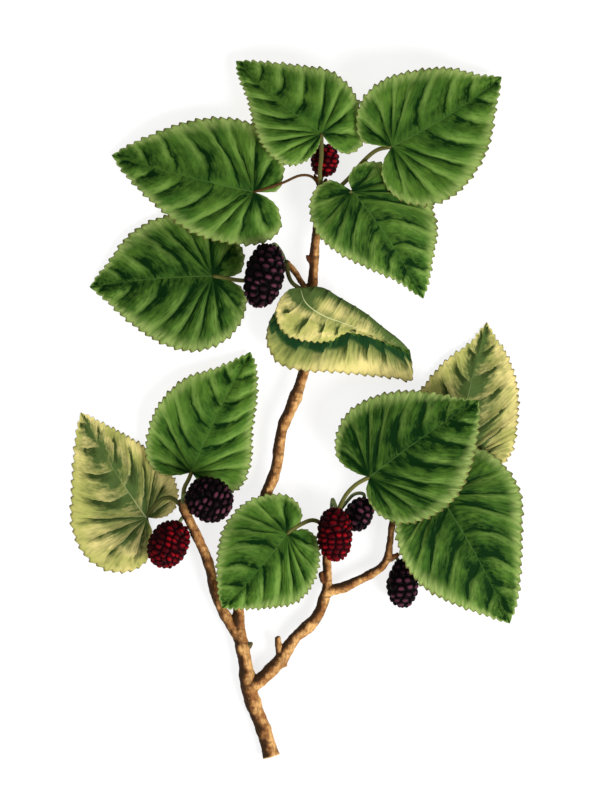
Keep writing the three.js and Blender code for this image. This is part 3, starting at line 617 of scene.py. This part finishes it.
def folded_shades(line, sheet, side, u):
    """How pale the faces are and their painted shade, by their distance from the leaf's lines."""
    names = ("front", "fold", "midrib")
    beyond, from_fold, from_midrib = (distance_from(line[name], sheet) for name in names)
    from_base = np.linalg.norm(sheet[..., :2] - line["midrib"].at(0)[:2], axis=-1)
    # Close to the front half's edge the back half shows its green face, under the painted shadow.
    inner = np.clip(0.06 + (beyond - SHADOW_BAND_START) / SHADOW_BAND_FADE, 0, 1) * (side < -0.4)
    # Painted shade near the fold, the base and the midrib.
    turned = GLOOM_STRENGTH * np.maximum(1 - from_fold / FOLD_GLOOM, 0)
    turned += GLOOM_STRENGTH * np.maximum(1 - from_base / BASE_GLOOM, 0)
    turned += np.maximum(1 - from_midrib / MIDRIB_GLOOM, 0) * (1 - u[:, None])
    # Painted shadow of the front half on the back half.
    below = np.clip(1 - (beyond - SHADOW_BAND_START) / (2 * SHADOW_BAND_FADE), 0, 1)
    pale = np.concatenate([np.ones_like(inner), inner[:, ::-1]], axis=1)
    return pale, np.concatenate([turned, below[:, ::-1]], axis=1)


folded = folded_leaf(len(LEAVES))
print("folded leaf:", len(folded.data.vertices), "points")

# %% [markdown]
# A mulberry is many small drupelets grown together in rings, each wider than it is tall. The berry
# starts as an icosphere, every point of which finds its nearest drupelet, and rises as a dome over
# it. Creases stay where two drupelets meet. For the paint, each point also knows how near it is to
# its drupelet's middle, for a painted highlight, and how far it faces the lit side, for painted
# shade. Dark berries have a coarser grain.
# %% Berry sizes
DRUPELET_WIDE = 3.4
DRUPELET_TALL = 2.25
DRUPELET_HEIGHT = 0.18
DRUPELET_FOOT = 0.94
DRUPELET_SHARPNESS = 1.15
AROUND_SCATTER = 0.09
ALONG_SCATTER = 0.035
END_DRUPELETS = 4
# A drupelet's painted highlight is squat, and painted shade darkens a berry away from the next way.
HIGHLIGHT_SQUAT = 2.3
LIT_WAY = np.array([0.8, -0.5, 0.33])
FULLNESS = 0.18
FULLEST = 1.9
BERRIES = {
    "berry_top": dict(
        at=(12, 112, 8.2), axis=-95, radius=5.9, reach=6.8, taper=0, grain=1,
        stalk=[(10.6, 99, 8.6), (10.4, 102.6, 5.8), (11.4, 107.4, 6.8)]),
    "berry_upper_left": dict(
        at=(-15.2, 59.9, 15.2), axis=78, radius=8.2, reach=13.4, taper=0, grain=1.18,
        stalk=[(-5.9, 66.9, 7.8), (-7.5, 70.6, 8.2), (-10.5, 74.2, 10.8), (-12.2, 72.4, 14.6)]),
    "berry_left_dark": dict(
        at=(-39.8, -40.6, 16.6), axis=150, radius=9.3, reach=9.8, taper=0, grain=1.15,
        stalk=[(-51.6, -43.5, 10), (-51.5, -39.5, 14.4), (-47, -37, 16.4)]),
    "berry_left_red": dict(
        at=(-58.3, -60.9, 9.4), axis=62, radius=8.3, reach=10.2, taper=0, grain=1,
        stalk=[(-50.4, -47, 9.4), (-52.4, -49.4, 8.8), (-54.8, -53.4, 9)]),
    "berry_middle_red": dict(
        at=(16.5, -56.2, 17.4), axis=92, radius=7.3, reach=11, taper=0, grain=1,
        stalk=[(16.4, -49.8, 6.8), (15.2, -45.2, 8), (15.6, -40.6, 12.2), (17.6, -46, 17)]),
    "berry_right_hidden": dict(
        at=(27.5, -47.4, 7), axis=60, radius=6, reach=7.4, taper=0.1, grain=1.15,
        stalk=[(17, -48.4, 6.6), (20.6, -43.6, 5), (25.5, -38.4, 5.2), (29.6, -38.4, 6.4),
               (29.8, -42, 6.8)]),
    "berry_low_right": dict(
        at=(47, -78.5, 7.4), axis=92, radius=6.7, reach=10, taper=0.3, grain=1.15,
        stalk=[(41.5, -66.2, 7.6), (44.2, -66.8, 7), (46.2, -71, 7.2)]),
}
print(len(BERRIES), "berries, drupelets", DRUPELET_WIDE, "x", DRUPELET_TALL, "mm")


# %% Berries
def envelope(berry, ways):
    """The berry's smooth body under its drupelets, along +Y, for an array of directions."""
    ring = np.sqrt(np.maximum(1 - ways[:, 1] ** 2, 1e-6))
    fullness = ring**-FULLNESS
    narrow = 1 - berry["taper"] * np.maximum(0, ways[:, 1])
    round_part = berry["radius"] * np.minimum(fullness, FULLEST) * narrow
    x, y, z = ways[:, 0] * round_part, ways[:, 1] * berry["reach"], ways[:, 2] * round_part
    return np.stack([x, y, z], axis=1)


def drupelet_ways(berry, random):
    """Directions of the drupelets, in staggered rings from one end to the other."""
    rings = round(math.pi * (berry["radius"] + berry["reach"]) / 2 / DRUPELET_TALL / berry["grain"])
    ways = []
    for k in range(rings):
        polar = math.pi * (k + 0.5) / rings
        around = 2 * math.pi * berry["radius"] * math.sin(polar)
        wide = round(around / DRUPELET_WIDE / berry["grain"])
        count = max(1, wide) if 0 < k < rings - 1 else END_DRUPELETS
        for i in range(count):
            step = i + 0.5 * (k % 2) + 0.31 * k
            angle = 2 * math.pi * step / count + random.normal(0, AROUND_SCATTER)
            tilt = polar + random.normal(0, ALONG_SCATTER)
            ring = math.sin(tilt)
            ways.append((ring * math.cos(angle), math.cos(tilt), ring * math.sin(angle)))
    return np.array(ways)


def berry_piece(name, berry, seed):
    """One berry, with the values that its paint reads."""
    random = np.random.default_rng(seed)
    bm = bmesh.new()
    bmesh.ops.create_icosphere(bm, subdivisions=6, radius=1)
    ways = np.array([corner.co for corner in bm.verts])
    ways /= np.linalg.norm(ways, axis=1, keepdims=True)
    centres = drupelet_ways(berry, random)
    body, middles = envelope(berry, ways), envelope(berry, centres)
    gaps = body[:, None, :] - middles[None, :, :]
    distance = np.linalg.norm(gaps * np.array([1, DRUPELET_WIDE / DRUPELET_TALL, 1]), axis=2)
    order = np.argsort(distance, axis=1)
    here, nearest = np.arange(len(ways)), order[:, 0]
    near, second = distance[here, nearest], distance[here, order[:, 1]]
    inside = np.clip((second - near) / (second + near) * DRUPELET_SHARPNESS, 0, 1)
    dome = np.sqrt(1 - (1 - inside) ** 2)
    fullness = random.uniform(0.85, 1.1, len(centres))[nearest]
    local = body * (DRUPELET_FOOT + DRUPELET_HEIGHT * dome * fullness)[:, None]
    x, y = placed(berry["at"], berry["axis"] - 90, local[:, 0], local[:, 1])
    z = berry["at"][2] + local[:, 2]
    away = np.stack([x, y, z], axis=1) - np.array(berry["at"])
    spot = np.linalg.norm(gaps[here, nearest] * np.array([1, HIGHLIGHT_SQUAT, 1]), axis=1)
    # Marks: spot places the painted highlight, and how far a point faces the lit way sets painted shade.
    marks = {
        "dome": dome,
        "ripe": random.uniform(0, 1, len(centres))[nearest],
        "lit_side": (away / np.linalg.norm(away, axis=1, keepdims=True)) @ LIT_WAY,
        "spot": spot / berry["grain"],
    }
    layers = {mark: bm.verts.layers.float.new(mark) for mark in marks}
    for k, corner in enumerate(bm.verts):
        corner.co = Vector((x[k], y[k], max(z[k], 0))) * MM
        for mark, layer in layers.items():
            corner[layer] = float(marks[mark][k])
    print(f"{name}: {len(centres)} drupelets")
    return finish_piece("fine_" + name, bm)


for seed, (name, berry) in enumerate(BERRIES.items()):
    berry["piece"] = berry_piece(name, berry, seed)

# %% [markdown]
# The twig grew as one piece, so its limbs have to melt into each other. Each limb is a skin of
# rings with swollen nodes, all of them are joined, and a voxel remesh fuses them. The new surface
# is smoothed and then gets the low ridges and wrinkles of bark. A limb's points hold their own
# radius as a fourth number.
# %% Twig sizes
NODE_SPACING = 13
NODE_SWELL = 0.13
VOXEL = 0.42
SMOOTHINGS = 3
RIDGE_HEIGHT = 0.22
WRINKLE_HEIGHT = 0.1
BARK_THICKNESS = 0.1
SHADED_WAY = Vector((-0.83, 0.56, 0))
LIMBS = dict(
    main_stem=[
        (-12, -157, 3.2, 3.5), (-15.5, -145, 3.1, 3.2), (-20, -133.5, 3.2, 3.3), (-22.4, -125, 4.4, 3.5),
        (-23.7, -115, 4.8, 3), (-25.4, -106, 5.2, 2.9), (-26.6, -98, 5.4, 2.6), (-26.8, -90, 5.7, 2.3),
        (-25, -80.5, 6, 2.4), (-20.8, -66, 6.6, 2.5), (-17.4, -50, 7.2, 2.5), (-14.3, -38, 7.6, 2.5),
        (-11.8, -32.4, 7.8, 2.4), (-9.4, -24.5, 8, 2.4), (-8.1, -13.5, 8.2, 2.4), (-6.5, -7, 8.2, 2.4),
        (-3.9, -1.3, 8.3, 2.6), (-1.5, 4.5, 8.3, 2.8), (0.4, 9.5, 8.4, 2.4), (3, 19, 8.4, 2.2),
        (4.6, 33.5, 8.4, 2.1), (6, 49, 8.5, 2.1), (7, 62.5, 8.6, 2), (8, 77, 8.8, 1.9),
        (10, 89.5, 9.2, 1.8), (11, 100.5, 9.8, 1.8)],
    left_shoot=[
        (-26, -104, 5.2, 2.5), (-30.8, -96.5, 5.6, 2.3), (-35.4, -88, 6, 2.2), (-38, -80, 6.5, 2.2),
        (-40, -70.5, 7.2, 2.2), (-44, -60.5, 8, 2.1), (-48.5, -51, 9, 2.1), (-51, -45.5, 9.8, 2.2),
        (-52, -40.5, 10.2, 2)],
    right_shoot=[
        (-22, -126, 4.8, 3.1), (-15.8, -121.2, 5.2, 3), (-11.3, -116.8, 5.4, 2.9), (-7.4, -112.6, 5.6, 3),
        (-4, -106.8, 5.8, 2.6), (-0.6, -102.4, 5.9, 2.5), (3.8, -98.7, 6, 2.8), (8, -94.3, 6, 2.6),
        (10.8, -88.8, 6, 2.3), (13, -82.8, 6, 2.5), (20.6, -80.4, 6.2, 2.3), (27, -77.4, 6.5, 2),
        (33.5, -74, 6.9, 1.9), (38, -70.8, 7.2, 1.8), (40.4, -66.4, 7.7, 1.5), (41.3, -61, 8.2, 1.5),
        (41.9, -56, 8.7, 1.4), (42.7, -50.5, 9.1, 1.4), (44.5, -44.5, 9.6, 1.4)],
    middle_shoot=[
        (13, -82.8, 6, 2.2), (13.3, -73.5, 6, 1.8), (12.8, -66, 6, 1.7), (14, -57, 6.2, 1.6),
        (16.5, -50, 6.8, 1.5), (18, -46, 7.2, 1.4)],
    berry_spur=[(5.5, 51.5, 8.4, 1.6), (2, 56.5, 8.2, 1.2), (-2, 62.5, 8, 1.2), (-5.8, 66.8, 7.8, 1.3)],
    broken_stub=[(-7.8, -112, 5.6, 1.8), (-8.8, -107, 6.4, 1.5), (-9.2, -102.6, 7, 1.2)],
    knot=[(-8.4, -113.4, 5.4, 2.4), (-6.4, -113.8, 5.4, 2.9), (-4.9, -113.8, 5.4, 2.3)],
    bud_stub=[(12.8, -78.5, 6, 1.4), (10.8, -76.5, 6.4, 1.4), (10.2, -73.5, 6.8, 0.9)],
    side_spur=[(40, -68, 7.4, 1.4), (43, -66.8, 8, 1.3), (45.4, -65.2, 8.5, 0.9)],
    top_bud=[(11, 99, 9.8, 1.7), (12, 101.8, 9.4, 1.4), (12.8, 103.6, 8.4, 0.6)],
    side_bud=[(10.6, 100, 9.8, 1.4), (8.6, 103, 10, 1.1), (7.2, 105.8, 10, 0.5)],
    stem_bud=[(6.6, 66, 8.6, 1.2), (4.6, 67.6, 8.9, 1), (3.8, 69.4, 9, 0.5)],
    low_bud=[(-23.5, -107.5, 5.4, 1.5), (-21.6, -106.4, 6, 1.3), (-20.8, -105.2, 6.4, 0.7)])
print(len(LIMBS), "limbs, stubs and buds")


# %% Twig
def tube_rings(points, step, sides, swell):
    """Rings round a limb whose points hold their own radius; its nodes swell evenly."""
    line = Line([point[:3] for point in points])
    count = max(3, round(line.length / step))
    where = [np.argmin(np.linalg.norm(line.samples - np.array(point[:3]), axis=1)) for point in points]
    radii = np.interp(np.linspace(0, line.length, count), line.run[where], [point[3] for point in points])
    angles = 2 * math.pi * np.arange(sides) / sides
    rings = []
    for k, share in enumerate(np.linspace(0, 1, count)):
        node = 0.5 + 0.5 * math.cos(2 * math.pi * share * line.length / NODE_SPACING)
        rings.append(line.ring(share, radii[k] * (1 + swell * node**4), angles))
    return np.array(rings)


def fused_limbs():
    """The mesh of all limbs, melted into one skin by a voxel remesh."""
    bm = bmesh.new()
    for name, points in LIMBS.items():
        part = skin(name, tube_rings(points, step=1.5, sides=20, swell=NODE_SWELL), {})
        bm.from_mesh(part.data)
        bpy.data.objects.remove(part)
    whole = finish_piece("fused_limbs", bm)
    fuse = whole.modifiers.new("fuse", "REMESH")
    fuse.mode = "VOXEL"
    fuse.voxel_size = VOXEL * MM
    graph = bpy.context.evaluated_depsgraph_get()
    fused = bpy.data.meshes.new_from_object(whole.evaluated_get(graph))
    bpy.data.objects.remove(whole)
    return fused


def twig_piece():
    """The fused limbs with bark on them; flank, for painted shade, is 1 on the shaded side."""
    bm = bmesh.new()
    bm.from_mesh(fused_limbs())
    for _ in range(SMOOTHINGS):
        bmesh.ops.smooth_vert(
            bm, verts=bm.verts, factor=0.5, use_axis_x=True, use_axis_y=True, use_axis_z=True)
    bm.normal_update()
    flank = bm.verts.layers.float.new("flank")
    for corner in bm.verts:
        corner[flank] = corner.normal.dot(SHADED_WAY)
        spot = corner.co / MM
        ridge = RIDGE_HEIGHT * noise.noise(spot * 0.55)
        wrinkle = WRINKLE_HEIGHT * noise.noise(spot * 1.6)
        corner.co += corner.normal * (ridge + wrinkle + BARK_THICKNESS) * MM
        corner.co.z = max(corner.co.z, 0)
    return finish_piece("fine_woody_twig", bm)


twig = twig_piece()
print("twig:", len(twig.data.vertices), "points")

# %% [markdown]
# Every berry hangs on a short green stalk. The stalks are thin skins of rings that widen a little
# where they meet the berry.
# %% Stalks
STALK_RADIUS = 0.8
STALK_FLARE = 1.15


def stalk_piece(name, points):
    ends = [STALK_RADIUS] * (len(points) - 1) + [STALK_FLARE * STALK_RADIUS]
    thick_points = [(*point, radius) for point, radius in zip(points, ends)]
    return skin("fine_" + name, tube_rings(thick_points, step=0.7, sides=14, swell=0), {})


for name, berry in BERRIES.items():
    berry["stalk_piece"] = stalk_piece(name.replace("berry", "stalk"), berry["stalk"])
print("made", len(BERRIES), "stalks")

# %% [markdown]
# A leaf's green is darkened by painted shade along its veins, on the side towards the base, and gets
# a painted yellow-green highlight on the ridges between them; it also turns yellow-green at the rim.
# Fine streaks run with the veins. The underside is the colour of straw, with painted olive shade near
# the midrib, painted dark shade beside the veins and the veins in a paler line. The marks of the leaf
# steer all this, so the pattern follows each blade, and a leaf in the shade of others gets its gloom, a
# painted shade. The tips of the teeth are worn brown.
# %% Leaf paint
def green_face(paint, phase, away, out, along, streak, cloud, blotch, gloom):
    """Upper face: painted vein shade, dark near the base, painted highlights on the ridges, a light rim.
    """
    reach = out.between(1.05, 0.45) * out.between(0.0, 0.3)
    # Painted shade beside each vein, on its side towards the base, and a dark line on the vein itself.
    shadow = (phase.between(0.25, 1.0) * 0.62 + away.between(0.2, 0.0) * 0.4) * reach
    shadow = shadow + away.between(0.06, 0.0) * out.between(0.95, 0.6) * 0.5
    depth = cloud.between(0.25, 0.65) * 0.7 + 0.45
    pool = out.between(0.5, 0.0) * (along.between(0.55, 0.25) * 0.6 + 0.35)
    dark = limited(shadow * depth + pool + (streak - 0.5) * 1.6 + (blotch - 0.5) * 0.9 + gloom * 0.4)
    # Painted highlight on the ridges between the veins.
    ridge = limited(phase.between(0.5, 0.1) * phase.between(0.0, 0.15) * out.between(0.15, 0.6) * 1.1)
    green = paint.mixed(cloud.between(0.3, 0.7), colour(78, 112, 38), colour(58, 94, 30))
    green = paint.mixed(ridge * 0.7, green, colour(114, 144, 66))
    green = paint.mixed(dark, green, colour(6, 34, 6))
    rim = limited(out.between(0.8, 0.99) * (streak.between(0.35, 0.65) * 0.7 + 0.25))
    green = paint.mixed(rim, green, colour(146, 164, 92))
    return paint.mixed(limited(out.between(0.012, 0.004) * 0.3), green, colour(88, 120, 62))


def pale_face(paint, phase, away, out, along, streak, cloud, blotch, gloom):
    """The underside: straw with painted olive shade, painted shade beside the veins and pale veins."""
    calm = paint.mark("calm")
    straw = paint.mixed(cloud.between(0.35, 0.65), colour(218, 202, 130), colour(166, 166, 90))
    # Painted olive shade near the midrib and between the veins, with the painted gloom.
    painted_olive_shade = phase.between(0.05, 0.9) * out.between(0.95, 0.2) * (blotch.between(0.3, 0.6) * 0.6 + 0.5)
    painted_olive_shade = painted_olive_shade * (1 - calm * 0.75) * 0.85 + (streak - 0.5) * 1.2 + (blotch - 0.5) * 0.8
    painted_olive_shade = limited(painted_olive_shade + gloom * (calm * 0.45 + 0.6))
    straw = paint.mixed(painted_olive_shade, straw, colour(74, 94, 46))
    # Painted shade on the side of each vein towards the base.
    vein_shadow = phase.between(0.5, 1.0) * out.between(0.1, 0.35) * out.between(0.98, 0.6)
    vein_shadow = vein_shadow * (cloud.between(0.25, 0.6) + 0.3) + (streak - 0.5) * 1.1 + gloom * 0.15
    straw = paint.mixed(limited(vein_shadow - 0.05), straw, colour(44, 58, 24))
    line = away.between(0.03, 0.01) * out.between(0.7, 0.3) * (0.4 - calm * 0.25)
    line = limited(line + out.between(0.014, 0.005) * 0.75) * along.between(0.9, 0.4)
    return paint.mixed(line, straw, colour(200, 204, 146))


def leaf_paint(name):
    material, paint = new_paint(name)
    veins, across, along = paint.mark("veins"), paint.mark("across"), paint.mark("along")
    pale, stalk, seed = paint.mark("pale"), paint.mark("stalk"), paint.mark("seed")
    place = paint.node("ShaderNodeTexCoord", out=3)
    out = across.math("ABSOLUTE")
    streak_place = paint.node("ShaderNodeCombineXYZ", {}, {0: veins * 9, 1: across * 5, 2: seed * 7.3})
    streak = paint.grain(streak_place, 1.0, 5, 0.62)
    cloud_place = paint.node("ShaderNodeCombineXYZ", {}, {0: veins * 0.7, 1: across * 2.4, 2: seed * 3.7})
    cloud = paint.grain(cloud_place, 1.0, 2)
    blotch = paint.grain(place, 85.0, 3, 0.6)
    phase = (veins + (streak - 0.5) * 0.2 + (blotch - 0.5) * 0.5).math("FRACT")
    away = 0.5 - (phase - 0.5).math("ABSOLUTE")
    masks = (phase, away, out, along, streak, cloud, blotch, paint.mark("gloom"))
    green = green_face(paint, *masks)
    # Painted shadow: dark green where the folded leaf's back half shows under its front half.
    flap_shadow = pale.between(0.0, 0.03) * (streak.between(0.3, 0.6) * 0.4 + 0.6)
    green = paint.mixed(flap_shadow, green, colour(20, 52, 26))
    straw = pale_face(paint, *masks)
    flames = pale + (0.5 - phase) * 0.4 + (streak - 0.5) * 0.8 + (blotch - 0.5) * 0.5
    side = limited(flames.between(0.35, 0.65) * pale.between(0.0, 0.3) + pale.between(0.9, 1.0))
    base = paint.mixed(side, green, straw)
    tooth = (along * TEETH_PER_SIDE).math("FRACT")
    worn = out.between(0.955, 1.0) * (tooth.between(0.5, 0.75) * 0.65 + 0.25)
    base = paint.mixed(worn, base, colour(76, 56, 30))
    petiole = paint.mixed(streak.between(0.3, 0.7), colour(104, 102, 52), colour(54, 60, 28))
    petiole = paint.mixed(paint.mark("woody"), petiole, colour(78, 54, 28))
    base = paint.mixed(stalk.between(0.2, 0.8), base, petiole)
    net_settings = {"feature": "DISTANCE_TO_EDGE"}
    net = paint.node("ShaderNodeTexVoronoi", net_settings, {"Vector": place, "Scale": 620.0})
    bump = relief(paint, streak * 0.7 + net.between(0.0, 0.12) * 0.35, 0.35, 0.25)
    put_on(paint, base, 0.68 + side * 0.1, bump, gloss=0.03)
    return material


leaf_finish = leaf_paint("mulberry leaf")
for name, leaf in LEAVES.items():
    stand_for(leaf["piece"], name, leaf_finish)
stand_for(folded, "leaf_folded", leaf_finish)


# %% [markdown]
# Creases between drupelets are painted nearly black as shade. Each drupelet has its own ripeness and
# a flat painted highlight in its middle, and painted shade darkens the berry away from its lit side,
# so the red berries run from crimson to wine and the dark ones from black to plum. Their gloss is
# kept low, because a wide lamp on wet fruit would lay a grey veil over the dark colours.
# %% Berry paint
def berry_paint(name, deep, body, highlight, low):
    """Fruit paint; low is how high a dome must rise to leave the deep colour, the painted crease shade."""
    material, paint = new_paint(name)
    dome, ripe, lit_side = paint.mark("dome"), paint.mark("ripe"), paint.mark("lit_side")
    place = paint.node("ShaderNodeTexCoord", out=3)
    mottle = paint.grain(place, 420.0, 3)
    # spot: the painted highlight, a flat patch in each drupelet's middle.
    spot = paint.mark("spot").between(1.9, 0.5)
    flesh = paint.mixed(ripe.between(0.0, 0.8) * (spot * 0.85 + 0.15), body, highlight)
    flesh = paint.mixed(mottle.between(0.3, 0.75) * 0.5, flesh, body)
    # Painted shade: creases keep the deep colour, and the side away from the light darkens.
    lit = dome.between(low, 1.0) * (mottle.between(0.3, 0.6) * 0.4 + 0.6)
    base = paint.mixed(lit * (lit_side.between(-0.7, 0.35) * 0.85 + 0.15), deep, flesh)
    rough = 0.42 + mottle.between(0.3, 0.8) * 0.16
    put_on(paint, base, rough, relief(paint, mottle, 0.25, 0.1), gloss=0.03)
    return material


FRUIT = {
    "berry_red": berry_paint("red fruit", colour(20, 0, 3), colour(62, 2, 8), colour(158, 8, 20), 0.4),
    "berry_dark": berry_paint("dark fruit", colour(3, 1, 2), colour(16, 6, 10), colour(104, 54, 72), 0.62),
}
for name, berry in BERRIES.items():
    stand_for(berry["piece"], name, FRUIT[slots[name]])

# %% [markdown]
# Bark is golden brown with darker streaks that run along the stem, wrinkled rings and small pale
# pores. Its shaded flank is painted dark as shade, with a ragged edge and a painted half shade, and
# a painted grey-green edge runs along the lit flank. Knots and stubs carry reddish scars, and one
# bud is green. The cut at the lower end shows pale wood. The berries' stalks are green.
# %% Bark marks
CUT_AT = Vector(LIMBS["main_stem"][0][:3]) * MM
CUT_WAY = (CUT_AT - Vector(LIMBS["main_stem"][1][:3]) * MM).normalized()
SCARS = [(-6.4, -113.8, 6), (12, -77, 6), (44, -66.5, 8), (4.6, 67.6, 9), (-22, -128, 4), (13.5, -62, 6)]
SCAR_SIZE = 4.2
BUD_AT = LIMBS["low_bud"][1][:3]
print(len(SCARS), "scars, cut at", [round(v / MM, 1) for v in CUT_AT])


# %% Bark and stalk paint
def apart(place, spot):
    """How far a point is from a spot, in millimetres."""
    centre = tuple(Vector(spot) * MM)
    return place.node("ShaderNodeVectorMath", {"operation": "DISTANCE"}, {0: place, 1: centre}, 1) * 1000


def past_cut(place):
    """How far a point lies past the stem's cut end, in millimetres; negative in the stem."""
    settings = {"operation": "DOT_PRODUCT"}
    along = place.node("ShaderNodeVectorMath", settings, {0: place, 1: tuple(CUT_WAY)}, 1)
    return (along - CUT_WAY.dot(CUT_AT)) * 1000


def bark_paint():
    material, paint = new_paint("bark")
    place = paint.node("ShaderNodeTexCoord", out=3)
    long_place = paint.node("ShaderNodeMapping", {}, {"Vector": place, "Scale": (1.0, 0.35, 1.0)})
    ring_place = paint.node("ShaderNodeMapping", {}, {"Vector": place, "Scale": (0.3, 1.0, 0.3)})
    flank = paint.mark("flank")
    fibre = paint.grain(long_place, 900.0, 5, 0.6)
    patch = paint.grain(place, 150.0, 4, 0.6)
    ring = paint.grain(ring_place, 420.0, 2)
    pores = paint.node("ShaderNodeTexVoronoi", {}, {"Vector": place, "Scale": 330.0})
    base = paint.mixed(patch.between(0.35, 0.65), colour(204, 158, 98), colour(142, 94, 48))
    base = paint.mixed(fibre.between(0.42, 0.7) * 0.7, base, colour(98, 62, 32))
    # Painted shade: the shaded flank turns dark through a painted half shade, with a ragged edge.
    ragged = flank + (patch - 0.5) * 1.7 + (fibre - 0.5) * 0.7 + 0.14
    base = paint.mixed(ragged.between(-0.25, 0.25) * 0.75, base, colour(122, 76, 38))
    base = paint.mixed(ragged.between(0.05, 0.55) * 0.95, base, colour(44, 28, 12))
    base = paint.mixed(ring.between(0.56, 0.68) * 0.65, base, colour(62, 38, 18))
    # A painted grey-green edge along the lit flank.
    base = paint.mixed((flank + fibre * 0.3).between(-0.72, -0.85) * 0.7, base, colour(112, 92, 52))
    base = paint.mixed(pores.between(0.16, 0.1) * 0.12, base, colour(216, 184, 136))
    for spot in SCARS:
        scar = apart(place, spot).between(SCAR_SIZE, 0.5) * (patch.between(0.3, 0.6) * 0.6 + 0.3)
        base = paint.mixed(scar, base, colour(84, 44, 22))
    base = paint.mixed(apart(place, BUD_AT).between(2.0, 1.4) * 0.8, base, colour(62, 66, 38))
    wood = paint.mixed(fibre.between(0.35, 0.65), colour(214, 186, 138), colour(178, 140, 92))
    base = paint.mixed(past_cut(place).between(-0.45, -0.3), base, wood)
    bump = relief(paint, fibre * 0.6 + ring * 0.5 + pores.between(0.25, 0.1) * 0.4, 0.6, 0.35)
    put_on(paint, base, 0.62 + fibre * 0.2, bump, gloss=0.1)
    return material


def stalk_paint():
    material, paint = new_paint("stalk")
    place = paint.node("ShaderNodeTexCoord", out=3)
    grain = paint.grain(place, 700.0, 4)
    base = paint.mixed(grain.between(0.3, 0.7), colour(98, 116, 50), colour(64, 76, 34))
    put_on(paint, base, 0.5 + grain * 0.1, relief(paint, grain, 0.3, 0.15))
    return material


stand_for(twig, "woody_twig", bark_paint())
green_stalk = stalk_paint()
for name, berry in BERRIES.items():
    stand_for(berry["stalk_piece"], name.replace("berry", "stalk"), green_stalk)

# %% [markdown]
# The sprig lies on a plain white table. A large soft lamp from the lower right models the round
# twig and the bulges of the leaves, two weak ones lighten the far sides, and a pale sky fills the
# shadows. The table glows by itself, so that it stays white and takes only faint shadows.
# %% Table and light
TABLE_GLOW = 0.78
SKY_STRENGTH = 0.33
WHITE = (1, 1, 1, 1)
bm = bmesh.new()
bmesh.ops.create_grid(bm, x_segments=1, y_segments=1, size=4)
table = finish_piece("table", bm)
table_material, table_paint = new_paint("white paper")
glow = {"Emission Color": WHITE, "Emission Strength": TABLE_GLOW}
plain_normal = table_paint.node("ShaderNodeNewGeometry", out=1)
put_on(table_paint, (0.25, 0.25, 0.25, 1), 0.9, plain_normal, **glow)
table.data.materials.append(table_material)


def lamp(name, spot, power, size):
    """A round lamp that shines from its spot at the middle of the sprig."""
    light = bpy.data.lights.new(name, "AREA")
    light.energy = power
    light.shape = "DISK"
    light.size = size
    holder = bpy.data.objects.new(name, light)
    bpy.context.scene.collection.objects.link(holder)
    holder.location = spot
    holder.rotation_euler = Vector(spot).to_track_quat("Z", "Y").to_euler()


lamp("key lamp", spot=(0.85, -0.65, 0.95), power=27, size=0.8)
lamp("fill lamp", spot=(-0.8, 0.7, 1.0), power=5, size=0.9)
lamp("side lamp", spot=(-0.7, -0.8, 1.0), power=4, size=0.9)
world = bpy.data.worlds.new("pale room")
world.use_nodes = True
world.node_tree.nodes["Background"].inputs["Color"].default_value = WHITE
world.node_tree.nodes["Background"].inputs["Strength"].default_value = SKY_STRENGTH
bpy.context.scene.world = world
bpy.context.scene.view_settings.view_transform = "Standard"
print("lamps:", [light.name for light in bpy.data.lights])

# %% [markdown]
# The camera looks straight down, as at a flat sheet. Its long lens makes the picture 360 mm tall
# at the height of the leaves, and its middle is a little right of and above the middle of the
# sprig.
# %% Camera
PICTURE_HEIGHT = 0.36
PICTURE_MIDDLE = (0.0009, 0.00405)
CAMERA_HEIGHT = 2.0
LEAF_HEIGHT = 0.01
camera_data = bpy.data.cameras.new("camera")
camera_data.sensor_fit = "AUTO"
camera_data.sensor_width = 36
camera_data.lens = camera_data.sensor_width * (CAMERA_HEIGHT - LEAF_HEIGHT) / PICTURE_HEIGHT
camera = bpy.data.objects.new("camera", camera_data)
bpy.context.scene.collection.objects.link(camera)
camera.location = (*PICTURE_MIDDLE, CAMERA_HEIGHT)
bpy.context.scene.camera = camera
print("camera", [round(v, 4) for v in camera.location], "lens", round(camera_data.lens, 1))
